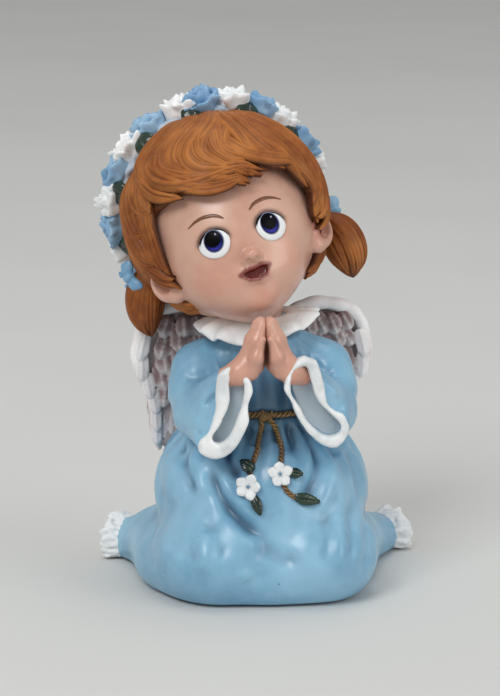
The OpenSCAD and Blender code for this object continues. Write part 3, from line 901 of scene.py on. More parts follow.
def head():
    points, quads = solid((-32, -28, -38), (32, 30, 41), 0.4, skin_of_head)
    wash = 0.5 * hollows(points, quads, 6, 2.2)
    made = moulded("head_skin", from_head(points), quads, wash, "skin_paint", "head")
    x, y, z = points.T
    front = ease(-2, -12, y)
    blush_and_ear_shade = np.zeros(len(points))
    for s in (-1, 1):
        blush_and_ear_shade += 0.3 * np.exp(-(((x - s * 12.5) / 6.5) ** 2 + ((z + 6.5) / 5) ** 2)) * front
        # rosy paint on each ear, laid darker in its cup as painted shade
        blush_and_ear_shade += 1.0 * np.exp(-(((x - s * 22.9) / 2.2) ** 2 + ((z - EAR_Z[s]) / 3.4) ** 2)) * ease(2, -2, y)
    blush_and_ear_shade += 0.12 * np.exp(-((x / 2.4) ** 2 + ((z + 1.8) / 1.6) ** 2)) * front
    blush_and_ear_shade += 0.35 * np.exp(-((x / 7) ** 2 + ((z + 15) / 3.5) ** 2)) * front
    blush_and_ear_shade += 0.45 * ease(-16, -24, z)
    layer(made, "blush", np.clip(blush_and_ear_shade, 0, 1))
    x4, z4 = x.astype(np.float32), z.astype(np.float32)
    layer(made, "lips", ease(0.55, -0.25, lip_area(x4, z4)) * front * 0.9)
    layer(made, "mouth", ease(0.35, -0.35, mouth_gap(x4, z4)) * front * 0.95)
    # round each eye: painted shade in the lid crease above it, the painted lid line along its top, and a
    # faint ring all round
    lid_line_and_crease_shade = np.zeros(len(points))
    for s in (-1, 1):
        r = np.sqrt(((x - s * EYE_X) / EYE_W) ** 2 + ((z - EYE_Z) / EYE_H) ** 2)
        above = ease(-0.2, 0.6, (z - EYE_Z) / EYE_H)
        lid_line_and_crease_shade += (ease(1.4, 1.05, r) * 0.55 + ease(1.2, 1.1, r) * 0.6) * above + ease(1.12, 1.02, r) * 0.25
    layer(made, "line", np.clip(lid_line_and_crease_shade * front, 0, 0.85))
    return BVHTree.FromPolygons(points.tolist(), quads.tolist())


def ahead(tree, x, z):
    """Where the skin lies straight ahead of a place on the face, in the head's frame."""
    hit = tree.ray_cast(Vector((x, -60, z)), Vector((0, 1, 0)))
    return np.array(hit[0])


def eye_paint():
    """An eye's paint, drawn from its own eye_u and eye_v measures in millimetres."""
    n = Nodes("eye_paint")
    u, v = n.attribute("eye_u"), n.attribute("eye_v")

    def oval(at_u, at_v, half_u, half_v, soft):
        """1 inside an oval and 0 outside it."""
        parts = []
        for source, middle_at, half in ((u, at_u, half_u), (v, at_v, half_v)):
            shifted = n.add("ShaderNodeMath", operation="SUBTRACT")
            n.link(source, shifted.inputs[0])
            shifted.inputs[1].default_value = middle_at
            scaled = n.times(shifted.outputs[0], 1 / half)
            parts.append(n.times(scaled, scaled))
        total = n.add("ShaderNodeMath", operation="ADD")
        n.link(parts[0], total.inputs[0])
        n.link(parts[1], total.inputs[1])
        return n.ramp(total.outputs[0], 1 - soft, 1 + soft, 1.0, 0.0)

    colour = n.mix(n.ramp(n.noise(900, 2), 0.35, 0.7), srgb(226, 230, 236), srgb(246, 247, 248))
    black = srgb(10, 9, 14)
    colour = n.mix(oval(0.15, -0.35, 4.1, 3.85, 0.07), black, colour)
    colour = n.mix(n.ramp(v, 0.2, 1.6, 1.0, 0.0), colour, srgb(238, 240, 242))
    colour = n.mix(oval(-0.15, 0.62, 2.85, 3.3, 0.05), colour, srgb(138, 144, 168))
    colour = n.mix(oval(-0.2, 0.66, 2.6, 3.05, 0.06), colour, srgb(12, 13, 36))
    iris = n.mix(n.ramp(v, -2.0, 0.2), srgb(50, 54, 150), srgb(20, 22, 78))
    colour = n.mix(oval(-0.2, 0.5, 2.25, 2.6, 0.12), colour, iris)
    colour = n.mix(oval(-0.35, 1.2, 2.15, 2.35, 0.08), colour, srgb(3, 3, 6))
    # a faint painted glint up and to the right of the pupil: a painted reflection of light
    colour = n.mix(oval(0.75, 2.3, 0.26, 0.32, 0.2), colour, srgb(150, 156, 176))
    n.link(colour, n.shader.inputs["Base Color"])
    n.link(n.ramp(n.noise(400, 2), 0.3, 0.7, 0.3, 0.42), n.shader.inputs["Roughness"])
    n.set("Specular IOR Level", 0.08)
    n.bump(n.noise(700, 2), 0.04, 0.0002)
    return n.material


def eyes(skin):
    """Low domes laid on the face, each closed by a flat back inside the head."""
    PAINTS["eye_paint"] = eye_paint()
    rings, spokes = 26, 72
    angle = ring_of(spokes)
    reach = np.sin(np.arange(1, rings + 1) / rings * math.pi / 2)[:, None]
    for s in (1, -1):
        rim = reach * (1 + 0.02 * np.sin(3 * angle + s))
        u = np.append(0, rim * EYE_W * np.cos(angle))
        v = np.append(0, rim * EYE_H * np.sin(angle))
        lift = 0.25 + 0.95 * np.sqrt(np.clip(1 - (u / EYE_W) ** 2 - (v / EYE_H) ** 2, 0, 1))
        points = np.array([ahead(skin, x, z) for x, z in zip(s * EYE_X + u, EYE_Z + v)])
        back = points[0] + (0, 1.2, 0)
        points[:, 1] -= lift
        points[-spokes:, 1] += 0.9
        faces = fan(0, 1, spokes, True) + weave(rings, spokes, False, True, 1)[:, TURNED_OVER].tolist()
        faces += fan(len(points), len(points) - spokes, spokes)
        form = Form()
        form.add(from_head(np.vstack([points, back])), faces)
        made = piece(SIDES[s] + "_eye_glaze", form, "eye_paint", SIDES[s] + "_eye")
        layer(made, "eye_u", np.append(u, 0))
        layer(made, "eye_v", np.append(v, 0))


def brows(skin):
    form = Form()
    for s in (-1, 1):
        flat = curve([(3.8, 9.8), (5.8, 11.3), (8.8, 12.0), (11.4, 11.7), (13.8, 10.7)], 30) * (s, 1)
        path = np.array([ahead(skin, x, z) for x, z in flat])
        out = unit(path - (0, 2, 8))
        t = np.linspace(0, 1, len(path))
        width = 0.14 + 0.46 * np.sin(math.pi * np.clip(t, 0.02, 0.98)) ** 0.7 * (1.1 - 0.45 * t)
        tube(form, from_head(path + out * 0.02), width, 10, lifts=out @ HEAD_AXES.T, flat=0.35)
    piece("brows", form, "brow_paint", slot="hair_paint")


# ---------------------------------------------------------------- hair

HAIR_BASE = HAIR_R - 1.0              # the cap under the locks
TIE_TURN, TIE_LIFT = 102.0, -12.5     # where the pigtails are tied on the ball of hair
WREATH_LEAN = math.radians(49)        # the wreath's axis leans back this far
WREATH_AXIS = np.array([0.0, math.sin(WREATH_LEAN), math.cos(WREATH_LEAN)])


def aim(places):
    """Directions from the middle of the hair for places given as degrees of turn and lift."""
    t, f = np.radians(np.asarray(places, float)).T
    return np.stack([np.sin(t) * np.cos(f), -np.cos(t) * np.cos(f), np.sin(f)], -1)


def lock(form, aims, half, high, lines, layer_up, rows=34, whole_length=False):
    """A swept lock of hair lying on the ball. half is half its width, and lines are cut along it.
    layer_up is how far it lies above the base."""
    top = 27        # points across its upper side
    whole = unit(curve(aims, 3 * rows))
    keep = 3 * rows * (1.0 if whole_length else 0.88 + 0.12 * rng.random()) - 1
    line = whole[np.linspace(0, keep, rows).astype(int)]
    t = np.linspace(0, 1, rows)
    side = np.cross(unit(np.gradient(line, axis=0)), line)
    swings = (1.1 + 0.5 * rng.random()) * t + rng.random()
    sway = 0.3 * half / HAIR_R * np.sin(2 * math.pi * swings) * ease(0, 0.4, t)
    line = unit(line + side * sway[:, None])
    side = np.cross(unit(np.gradient(line, axis=0)), line)
    width = half * ease(-0.25, 0.3, t) ** 0.5 * np.sqrt(np.clip(1 - ease(0.4, 1.02, t) ** 1.5, 0.0025, 1))
    rise = high * (0.35 + 0.65 * ease(0, 0.25, t)) * (0.4 + 0.6 * ease(1, 0.7, t))
    s = np.linspace(-1, 1, top)[None, :]
    cut = np.zeros((rows, top))
    for k in range(lines):
        place = -0.85 + 1.7 * (k + 0.5 + 0.5 * rng.normal(0, 0.5)) / lines
        drift, deep, thin = rng.normal(0, 0.22), 0.35 + 0.65 * rng.random(), 0.07 + 0.07 * rng.random()
        begin, end = 0.35 * rng.random() - 0.1, 1.1 - 0.35 * rng.random()
        there = ease(begin, begin + 0.2, t) * ease(end, end - 0.2, t)
        centre = place + drift * (t - 0.5) + 0.06 * np.sin(5 * t + k)
        cut = np.maximum(cut, deep * there[:, None] * np.exp(-((s - centre[:, None]) / thin) ** 2))
    dome = (1 - np.abs(s) ** 2.3) ** 0.7 * rise[:, None]
    up = dome - np.minimum(width[:, None] * 0.28, 0.55) * cut
    base = unit(line[:, None] * HAIR_BASE + side[:, None] * (width[:, None] * s)[..., None])
    upper = base * (HAIR_BASE + layer_up + up)[..., None]
    low = base[:, ::-4][:, 1:-1] * (HAIR_BASE + layer_up - 1.3)
    ring = np.concatenate([upper, low], 1)
    sides = ring.shape[1]
    points = np.vstack([ring.reshape(-1, 3), upper[0].mean(0), upper[-1].mean(0)])
    last = rows * sides
    faces = weave(rows, sides, False, True)[:, TURNED_OVER].tolist()
    faces += fan(last, 0, sides, True) + fan(last + 1, last - sides, sides)
    # painted shade under each lock, along its edges and at its root, with the dark wash in its cut lines
    wash = np.full((rows, sides), 0.9)
    shade = 0.6 * cut + 0.85 * ease(0.68, 1.0, np.abs(s)) + 0.25 * ease(0.2, 0, t)[:, None]
    wash[:, :top] = np.clip(shade, 0, 0.92)
    form.add(from_head(HAIR_AT + points), faces, np.append(wash.ravel(), [0.5, 0.3]))


def between(guides, share):
    """A path between two guide paths of a list, share of the way through the list."""
    paths = [curve(g, 9) for g in guides]
    k = min(int(share), len(paths) - 2)
    return paths[k] + (paths[k + 1] - paths[k]) * (share - k)


# Guides for the locks: paths of (turn, lift) places in degrees, from the crown downwards
TUFT = [
    [(-20, 78), (-36, 66), (-53, 52), (-59, 39), (-51, 28), (-42, 20)],
    [(-8, 79), (-25, 64), (-44, 50), (-53, 36), (-45, 24), (-35, 11.5)],
    [(4, 80), (-14, 63), (-35, 48), (-47, 34), (-39, 20), (-28.5, 6.5)],
]
FRINGE = [
    [(14, 80), (0, 70), (-16, 60), (-35, 46), (-42, 34), (-36, 23.5), (-24, 15.5), (-12, 10.5), (0, 7.5),
     (10, 2.5)],
    [(18, 80), (6, 68), (-7, 56), (-24, 43), (-31, 32), (-26, 22), (-14, 14.5), (-2, 10.5), (7, 7), (13, 3)],
    [(24, 80), (15, 65), (4, 50), (-8, 38), (-12, 28), (-9, 20), (-1, 14), (8, 10), (15, 6.5)],
    [(28, 79), (20, 62), (14, 46), (8, 34), (8, 25), (12, 18), (19, 12.5), (27, 7)],
]
TEMPLE = [
    [(32, 78), (24, 61), (19, 46), (19, 33), (22, 23), (28, 14), (35, 7)],
    [(38, 77), (29, 59), (26, 43), (29, 30), (34, 19), (41, 10), (47, 3)],
    [(46, 74), (34, 57), (36, 40), (42, 26), (48, 13), (52, 0), (54, -13)],
    [(54, 70), (44, 54), (47, 38), (53, 23), (58, 8), (59, -6), (59, -20)],
    [(62, 64), (54, 51), (58, 37), (64, 22), (67, 6), (66, -8), (64, -22)],
]
LEFT_SIDE = [
    [(75, 40), (79, 26), (74, 12), (71, 1), (70, -8), (70, -15)],
    [(68, 36), (70, 22), (66, 8), (63, -5), (62, -15), (64, -22)],
    [(62, 26), (62, 15), (57, 4), (56, -8), (57, -18), (59, -29)],
]
RIGHT_SIDE = [
    [(-76, 44), (-82, 30), (-78, 12), (-74, -4), (-70, -16), (-66, -27)],
    [(-66, 46), (-70, 30), (-68, 12), (-65, -4), (-63, -18), (-62, -30)],
    [(-52, 44), (-57, 28), (-55, 10), (-57, -6), (-60, -18), (-60, -32)],
    [(-48, 42), (-55, 28), (-51, 14), (-54, 0), (-58, -12), (-61, -25), (-60, -35)],
]
OVER_EAR = [
    [(76, 44), (80, 28), (79, 12), (78, -2), (78, -14)],
    [(88, 40), (90, 28), (89, 14), (88, 0), (90, -12)],
    [(98, 28), (98, 20), (98, 10), (99, 0), (101, -10)],
    [(112, 14), (110, 8), (107, 0), (104, -6), (102, -12)],
]
BEHIND_EAR = [
    [(74, 4), (76, -8), (80, -20), (84, -32)],
    [(82, 6), (86, -6), (90, -18), (93, -30)],
    [(96, 4), (97, -8), (99, -20), (101, -34)],
]


# Clumps over the rest: (turn, lift) places, half width, height, and how far up they lie
CLUMPS = [
    ([(48, 84), (38, 75), (32, 66), (29, 56), (28, 44)], 3.4, 1.3, 1.2),
    ([(-50, 48), (-45, 33), (-34, 21), (-20, 13.5), (-8, 12), (3, 14), (13, 14.5), (22, 9)], 3.0, 1.5, 1.9),
    ([(-47, 36), (-39, 24), (-26, 15), (-13, 9.5), (-2, 8.5), (6, 7.5), (11, 2)], 2.8, 1.3, 1.5),
    ([(-60, 44), (-55, 31), (-44, 20), (-34, 12), (-27, 6)], 2.7, 1.4, 1.4),
    ([(-66, 34), (-63, 22), (-56, 14), (-50, 9), (-46, 11)], 2.2, 1.5, 1.2),
    ([(10, 33), (14, 24), (22, 18), (32, 12), (41, 9), (47, 3)], 2.6, 1.5, 1.9),
    ([(26, 38), (33, 26), (42, 16), (49, 5), (52, -6), (50, -14)], 2.6, 1.5, 1.7),
    ([(44, 40), (54, 27), (60, 14), (62, 2), (58, -9), (53, -14)], 2.4, 1.6, 1.5),
    ([(60, 30), (68, 18), (71, 5), (69, -8), (62, -18), (55, -21)], 2.3, 1.6, 1.3),
    ([(66, 10), (70, -2), (70, -13), (66, -22), (59, -29)], 2.0, 1.5, 1.3),
    ([(-78, 34), (-76, 20), (-71, 8), (-63, 0), (-56, -1)], 2.3, 1.6, 1.3),
    ([(-80, 18), (-76, 4), (-70, -8), (-62, -15), (-56, -15)], 2.2, 1.6, 1.3),
    ([(-78, 2), (-74, -10), (-68, -20), (-61, -27), (-55, -29)], 2.1, 1.5, 1.3),
    ([(-72, -14), (-68, -24), (-63, -32), (-57, -37)], 1.9, 1.4, 1.2),
]


def hair_base():
    """The carved cap under the locks, open at the face and round the ears."""
    def shape(h):
        d = ball(h, HAIR_AT, HAIR_BASE)
        across = (np.abs(h[0]) / 24.5) ** 6 + (np.abs(h[2] + 4.5) / 24.5) ** 6
        opening = np.maximum((across ** (1 / 6) - 1) * 24, h[1] + 8)
        d = carve(1.2, d, opening)
        ear_gap = np.maximum(h[2] + 1.5, h[1] - 2.5)
        return carve(1.2, d, ear_gap)

    points, quads = solid(HAIR_AT - HAIR_R - 1, HAIR_AT + HAIR_R + 1, 0.6, shape)
    height = 0.35 * rough_noise(unit(points - HAIR_AT) * 9, 2, 51)
    points = points + normals(points, quads) * height[:, None]
    form = Form()
    form.add(from_head(points), quads, 0.55 + 0.35 * ease(0.3, -0.4, height))
    return form


def hair():
    form = hair_base()
    east = np.array([1.0, 0, 0])
    north = np.cross(east, WREATH_AXIS)

    def spot(polar, turn):
        polar = math.radians(polar)
        return WREATH_AXIS * math.cos(polar) + around(east, north, turn) * math.sin(polar)

    # inside the wreath, locks run out from the crown in a slow whorl
    whorls = ((16, 66, 3.6, 30), (7, 46, 3.0, 20), (-4, 28, 2.6, 11))
    for ring, (start, end, half, count) in enumerate(whorls):
        for k in range(count):
            a = 2 * math.pi * (k + 0.5 * ring) / count + 0.1 * rng.normal()
            way = [spot(start + (end - start) * t, a + 0.55 * t + 0.1 * math.sin(5 * a + 3 * t))
                   for t in np.linspace(0, 1, 5)]
            lock(form, way, half + 0.8 * rng.random(), 1.0 + 0.4 * rng.random(), 6, 0.1 + 0.35 * ring)
    # below the wreath, at the sides and back, they gather to the two ties
    for s in (-1, 1):
        tie = aim([(s * TIE_TURN, TIE_LIFT)])[0]
        for k in range(11):
            nape = np.array([(180 - 6 * k, -6), (176 - 7 * k, -28), (170 - 6.5 * k, -46 - 3 * (k % 2))])
            lock(form, aim(nape * (s, 1)), 2.7, 1.0, 5, 0.1 + 0.3 * rng.random())
        for k in range(7):
            flank = np.array([(101 + 2 * k, -10), (100 + 4 * k, -24), (97 + 6 * k, -38 - (k % 2) * 3)])
            lock(form, aim(flank * (s, 1)), 2.6, 1.2, 5, 0.2 + 0.4 * rng.random())
        for k in range(7):
            lock(form, aim(between(BEHIND_EAR, k / 3) * (s, 1)), 2.6, 1.2, 5, 0.1 + 0.4 * rng.random())
        for k in range(10):
            places = between(OVER_EAR, k / 9 * 3) * (s, 1) + rng.normal(0, 1.0, 2)
            lock(form, aim(places), 2.9, 1.1, 5, 0.2 + 0.3 * rng.random())
        for a in np.radians(np.linspace(-86, 28, 15)):
            start = spot(60, a if s > 0 else math.pi - a)
            halfway = unit(start * 0.55 + tie * 0.6 - WREATH_AXIS * 0.12)
            way = [start, unit(start * 0.8 + halfway * 0.4), halfway, tie]
            lock(form, way, 3.1 + 0.8 * rng.random(), 1.1, 5, 0.2 + 0.3 * rng.random())
    # below the ears, beside the neck
    for s in (-1, 1):
        for k in range(6):
            start = np.array([s * (23.5 - 0.5 * k), 7 - 1.5 * k, -4.0 + 0.8 * k])
            end = np.array([s * (18.5 - 0.6 * k), 5 - 2.0 * k, -14.0 + 0.7 * k])
            way = [unit(p - HAIR_AT) for p in (start, (start + end) / 2 + (s * 1.2, 0, 0), end)]
            lock(form, way, 2.4, 1.6, 5, 0.2 * k)
    # round the face: the guides, how many locks, their half width, height and how far up they lie
    for guides, count, half, high, up in (
            (LEFT_SIDE, 11, 2.2, 1.3, 0.4), (RIGHT_SIDE, 15, 2.1, 1.3, 0.4), (TEMPLE, 16, 2.7, 1.4, 0.9),
            (TUFT, 8, 3.2, 1.5, 0.7), (FRINGE, 15, 3.2, 1.5, 0.9)):
        for k in range(count):
            share = k / (count - 1)
            places = between(guides, share * (len(guides) - 1)) + rng.normal(0, 1.0, 2)
            lock(form, aim(places), half * (0.75 + 0.55 * rng.random()), high + 1.0 * rng.random(), 6,
                 up + 0.7 * rng.random() - 0.2, 44)
    # a few fat clumps on top of the rest, ending in loose tips
    for places, half, high, up in CLUMPS:
        lock(form, aim(places), half, high, 5, up, 48, whole_length=True)
    piece("hair_locks", form, "hair_paint", "hair_cap")


# Pigtails: where each is tied, where its tip hangs, its bend outwards and its greatest radius
PIGTAILS = {"left_pigtail": ((19.2, 6, 105.0), (27.8, 5.4, 87.6), 1.6, 5.4),
            "right_pigtail": ((-31.0, 5.5, 90.5), (-31.2, 5.6, 71.0), -1.6, 4.9)}


def pigtails():
    for name, (tie, tip, outwards, fat) in PIGTAILS.items():
        tie, tip = np.array(tie, float), np.array(tip, float)
        bend = np.array([outwards, -0.6, 0.8])
        spine = curve([tie, tie + (tip - tie) * 0.3 + bend, tie + (tip - tie) * 0.68 + bend * 0.95, tip], 30)
        t = np.linspace(0, 1, 30)
        body = fat * np.clip(np.sin(math.pi * t ** 1.15), 0, 1) ** 0.7 + 1.4 * (1 - t)
        form = Form()
        # the core shows between the strands and is painted dark, as painted shade
        tube(form, spine, np.maximum(body * 0.8, 0.3), 24, wash=0.7)
        side, lift, _ = frames(spine)
        strands = 15
        for k in range(strands):
            a = 2 * math.pi * k / strands + 0.25 * rng.normal()
            drift = 0.5 * (rng.random() - 0.5)
            reach = 1 - 0.16 * rng.random() * (k % 3)
            out = around(side, lift, a + drift * t)
            path = (spine + out * (body * 0.78)[:, None])[:int(30 * reach)]
            u = np.linspace(0, 1, len(path))
            taper = np.clip(np.sin(math.pi * (0.12 + 0.88 * u) ** 0.85), 0.02, 1) ** 0.8
            r = (1.75 + 0.4 * rng.random()) * taper
            phase = rng.random() * 6

            def comb(angle, along):
                return 1 + 0.10 * np.cos(7 * angle + phase + 2 * along) + 0.05 * np.cos(13 * angle - phase)

            tube(form, path, r, 22, lifts=out[:len(path)], flat=0.8, groove=comb)
        piece(name + "_locks", form, "hair_paint", name)


# ---------------------------------------------------------------- casting

def melt(form, step, rounds):
    """One cast skin over many overlapping parts: their union, softened at every edge."""
    points = np.concatenate(form.points)
    low = points.min(0) - 6 * step
    triangles = [(f[0], f[k], f[k + 1]) for f in form.faces for k in range(1, len(f) - 1)]
    grid = vdb.FloatGrid.createLevelSetFromPolygons(
        ((points - low) / step).astype(np.float32), triangles=np.array(triangles, np.uint32),
        transform=vdb.createLinearTransform(voxelSize=1.0), halfWidth=4.0)
    field = np.full(np.ceil((points.max(0) + 6 * step - low) / step).astype(int), 4.0, np.float32)
    grid.copyToArray(field)
    for _ in range(rounds):
        for axis in range(3):
            field = (2 * field + np.roll(field, 1, axis) + np.roll(field, -1, axis)) / 4
    return skin_of(np.clip(field, -3.9, 3.9), 4.0, step, low)


# ---------------------------------------------------------------- wreath

WREATH_POLAR = 58.0      # degrees from the wreath's axis to its band
ROSES = 22


def wreath_axes(turn, polar):
    """A direction from the middle of the hair, with those along and across the wreath there."""
    east = np.array([1.0, 0, 0])
    north = np.cross(WREATH_AXIS, east)
    round_it = east * math.cos(turn) + north * math.sin(turn)
    out = WREATH_AXIS * math.cos(polar) + round_it * math.sin(polar)
    along = north * math.cos(turn) - east * math.sin(turn)
    return out, along, np.cross(out, along)


def wreath_band():
    form = Form()
    turns = ring_of(220)
    outs = np.array([wreath_axes(t, math.radians(WREATH_POLAR))[0] for t in turns])
    path = from_head(HAIR_AT + outs * (HAIR_R + 1.2))
    lifts = outs @ HEAD_AXES.T
    lump = 1 + 0.10 * noise(np.stack([turns * 9, turns * 0, turns * 0], 1), 61)

    def wavy(angle, along):
        turns = along * math.pi
        return 1 + 0.1 * np.sin(3 * angle + 60 * turns) + 0.06 * np.sin(5 * angle - 92 * turns)

    tube(form, path, 4.3 * lump, 20, closed=True, lifts=lifts, flat=0.5, groove=wavy)
    points, quads = melt(form, 0.45, 1)
    moulded("wreath_band", points, quads, hollows(points, quads, 6, 2.0), "wreath_paint", "wreath_ring")


def petal(form, at, out, side, up, reach, width, height, curl, phase):
    """A cupped rose petal standing round an axis, with a rolled and ruffled rim."""
    a = np.linspace(-1, 1, 9)[:, None]
    b = np.linspace(0, 1, 8)[None, :]
    angle = a * width
    r = reach * (0.6 + 0.3 * b ** 0.8 + 0.1 * np.sin(6 * a * b + phase)) + curl * b ** 3
    r = r + 0.1 * reach * b ** 2 * np.sin(9 * a + 2 * phase)
    z = height * b * (0.72 + 0.28 * np.sqrt(1 - 0.9 * a ** 2) + 0.1 * np.sin(6.5 * a + phase * 1.7)) - 0.5
    form.add(*thick_grid(at + around(out, side, angle) * r[..., None] + up * z[..., None], 1.5, edge=0.35))


# Rounds of a rose: how many petals, and their reach, height and curl as shares of the rose's
ROUNDS = ((5, 1.0, 0.55, 0.6), (4, 0.76, 0.8, 0.35), (4, 0.5, 0.86, 0.15), (3, 0.27, 0.88, 0.0))


def rose(at, up, size, seed, tall):
    """A piped rose of a few rounds of petals about a bud, with its foot at a place."""
    form = Form()
    start = unit(np.cross(up, (0.3, 0.2, 0.9)))
    third = np.cross(up, start)
    turn = seed * GOLDEN
    for count, reach, height, curl in ROUNDS:
        for k in range(count):
            out = around(start, third, turn + 2 * math.pi * k / count + 0.25 * rng.normal())
            side = np.cross(up, out)
            petal(form, at, out, side, up, size * reach * (1 + 0.08 * rng.normal()), 1.25 * math.pi / count,
                  tall * height * (1 + 0.08 * rng.normal()), size * curl * 0.35, rng.random() * 6)
        turn += 0.7
    core = np.array([at - up * 0.4, at + up * tall * 0.3, at + up * tall * 0.55])
    tube(form, core, [size * 0.72, size * 0.6, size * 0.25], 10)
    return melt(form, 0.32, 1)


def roses():
    white, blue = Form(), Form()
    for k in range(ROSES):
        turn = 2 * math.pi * k / ROSES + 0.04 * rng.normal()
        polar = math.radians(WREATH_POLAR + 1.6 * rng.normal())
        out = wreath_axes(turn, polar)[0]
        up = unit(out + 0.12 * rng.normal(0, 1, 3))
        at = HAIR_AT + out * (HAIR_R + 1.6)
        size = 5.8 + 0.6 * rng.random()
        points, quads = rose(from_head(at), unit(up @ HEAD_AXES.T), size, k, 8.0 + 0.8 * rng.random())
        form = white if k % 2 == 0 else blue
        form.add(points, quads, np.clip(hollows(points, quads, 5, 2.4), 0, 0.85))
    piece("white_rose_petals", white, "white_rose_paint", "white_roses")
    piece("blue_rose_petals", blue, "blue_rose_paint", "blue_roses")


def leaf(form, at, along, up, length, width, dome, thick, arch):
    """A domed leaf with a midrib and side veins, lying from its stalk end along a direction."""
    along = unit(along - up * (along @ up))
    side = np.cross(up, along)
    t = np.linspace(0, 1, 26)[:, None]
    s = np.linspace(-1, 1, 19)[None, :]
    outline = np.sin(math.pi * np.clip(t, 0.004, 0.996) ** 0.78) ** 0.8
    half = width / 2 * outline
    vein = np.exp(-(s / 0.09) ** 2) * 0.32 * ease(0, 0.1, t) * ease(1, 0.85, t)
    branch = np.exp(-((np.mod(t * 6 - np.abs(s) * 1.6, 1) - 0.5) / 0.13) ** 2) * 0.16
    branch = branch * ease(0.05, 0.2, np.abs(s))
    rise = dome * (1 - s ** 2) * outline + arch * np.sin(math.pi * t) - vein + branch - 0.25 * arch * t ** 2
    grid = at + along * length * t[..., None] + side * (half * s)[..., None] + up * rise[..., None]
    points, faces = thick_grid(grid, thick, edge=0.12)
    low = np.clip(0.9 * vein / 0.32 + 0.6 * (1 - branch / 0.16) * 0.35, 0, 0.85)
    form.add(points, faces, np.concatenate([low.ravel(), np.full(low.size, 0.5)]))


def wreath_leaves():
    form = Form()
    for k in range(0, ROSES, 2):
        turn = 2 * math.pi * (k + 0.5) / ROSES
        out, along, inwards = wreath_axes(turn, math.radians(WREATH_POLAR + 5.5))
        outer = wreath_axes(turn, math.radians(WREATH_POLAR + 8))[0]
        away = inwards * np.sign((outer - out) @ inwards)
        point_to = unit(unit(away + along * 0.35 * rng.normal()) * 0.8 - out * 0.75)
        up = unit(out * 0.45 + away * 0.9)
        at = HAIR_AT + out * (HAIR_R + 4.6)
        leaf(form, from_head(at), point_to @ HEAD_AXES.T, up @ HEAD_AXES.T,
             8.2 + rng.random(), 6.6 + 0.6 * rng.random(), 0.9, 1.1, 0.9)
    piece("rose_leaves", form, "leaf_paint", "wreath_leaves")


# ---------------------------------------------------------------- bows

def bows():
    for name in ("left_bow", "right_bow"):
        at = middle(name)
        out = unit(unit(at - from_head(HAIR_AT)) - HEAD_AXES[:, 1] * 0.9)
        up = unit(HEAD_AXES[:, 2] - out * (HEAD_AXES[:, 2] @ out))
        along = np.cross(up, out)
        at = at + out * 0.8
        form = Form()
        t, across = np.linspace(0, 1, 16)[:, None], np.linspace(-1, 1, 15)[None, :]
        for way in (-1, 1):
            reach = (up + along * 0.25 * way) * way * 4.6
            wide = 0.7 + 1.75 * np.sin(math.pi * (0.1 + 0.62 * t)) ** 1.4
            wide = wide * np.sqrt(1 - ease(0.8, 1.05, t) ** 2)
            puff = 1.3 * (1 - across ** 2) * np.sin(math.pi * np.clip(t, 0.05, 0.95)) ** 0.6
            puff = puff - 0.15 * (1 + np.cos(across * 9)) * (1.1 - t)
            grid = at + reach * t[..., None] + along * (wide * across)[..., None] + out * puff[..., None]
            form.add(*thick_grid(grid, 1.5, edge=0.3))
            tail = curve([at, at + way * up * 1.5 - along * 1.6, at + way * up * 2.2 - along * 4.0], 14)
            tube(form, tail, np.linspace(0.6, 1.2, 14), 10, lifts=np.broadcast_to(out, tail.shape), flat=0.45)
        knot = [at - out * 0.2 - along * 1.2, at + out * 1.5, at - out * 0.2 + along * 1.2]
        tube(form, curve(knot, 10), 1.3, 12)
        points, quads = melt(form, 0.25, 1)
        moulded(name + "_ribbon", points, quads, hollows(points, quads, 5, 2.4), "bow_paint", name)


# ---------------------------------------------------------------- collar

def collar():
    low, high = mm_box("collar")
    mid_x, mid_y = (low[0] + high[0]) / 2 - 0.2, -6.8
    a = ring_of(132)[:, None]
    v = np.linspace(0, 1, 14)[None, :]
    wave = np.sin(11 * a + 0.9 * np.sin(2 * a) + 0.7 * np.sin(5 * a))
    wide = ease(0.2, 1, v)
    reach_x = 8.2 + (9.6 + 0.9 * wave) * v
    reach_y = 7.4 + (7.9 + 0.8 * wave) * v
    front = ease(0.2, 1.0, -np.sin(a))
    z = 79.4 - 2.0 * v - 2.6 * v ** 2 + 0.85 * wave * wide - 1.0 * front * v
    z = z + (2.4 * np.abs(np.cos(a)) ** 2 + 2.2 * np.cos(a)) * v
    grid = np.stack([mid_x + reach_x * np.cos(a), mid_y + reach_y * np.sin(a), z], -1)
    form = Form()
    form.add(*thick_grid(grid, 1.7, closed=True, edge=0.3))
    points, quads = melt(form, 0.35, 1)
    points = points + normals(points, quads) * (0.16 * rough_noise(points * 0.45, 2, 71))[:, None]
    moulded("collar_frill", points, quads, hollows(points, quads, 7, 1.6) * 0.8, "white_trim", "collar")


# ---------------------------------------------------------------- wings

WING_ROOT = np.array([7.0, 11.0, 64.0])
WING_TILT = math.radians(10)        # the wings sweep back this far
# The outline of a wing and the ridge along its leading edge, as u outwards and v up from its root
WING_EDGE = [
    (-2, -3), (-1, 9), (4, 13.5), (10.6, 16), (16.8, 15.2), (20.8, 13.8), (23.8, 10.6), (25.8, 5.4),
    (26.4, -1), (24, -7.6), (22, -12), (20.8, -19), (20.8, -25), (17.5, -28), (14, -25), (10.5, -18),
    (6, -11), (1, -7), (-2, -3),
]
WING_RIDGE = [
    (1, 11.5), (5.5, 14.4), (10.6, 15.6), (16.6, 14.8), (20.4, 13.2), (23.2, 10.0), (25.0, 5.0), (25.6, -1),
    (23.8, -7), (21.8, -12), (20.8, -19), (20.6, -25),
]
# Rows of feathers on the back: v of the row, length and lift
BACK_ROWS = ((-12, 15, 0.2), (-6, 15, 0.6), (0, 13, 1.0), (6, 11, 1.4), (11, 9, 1.8))
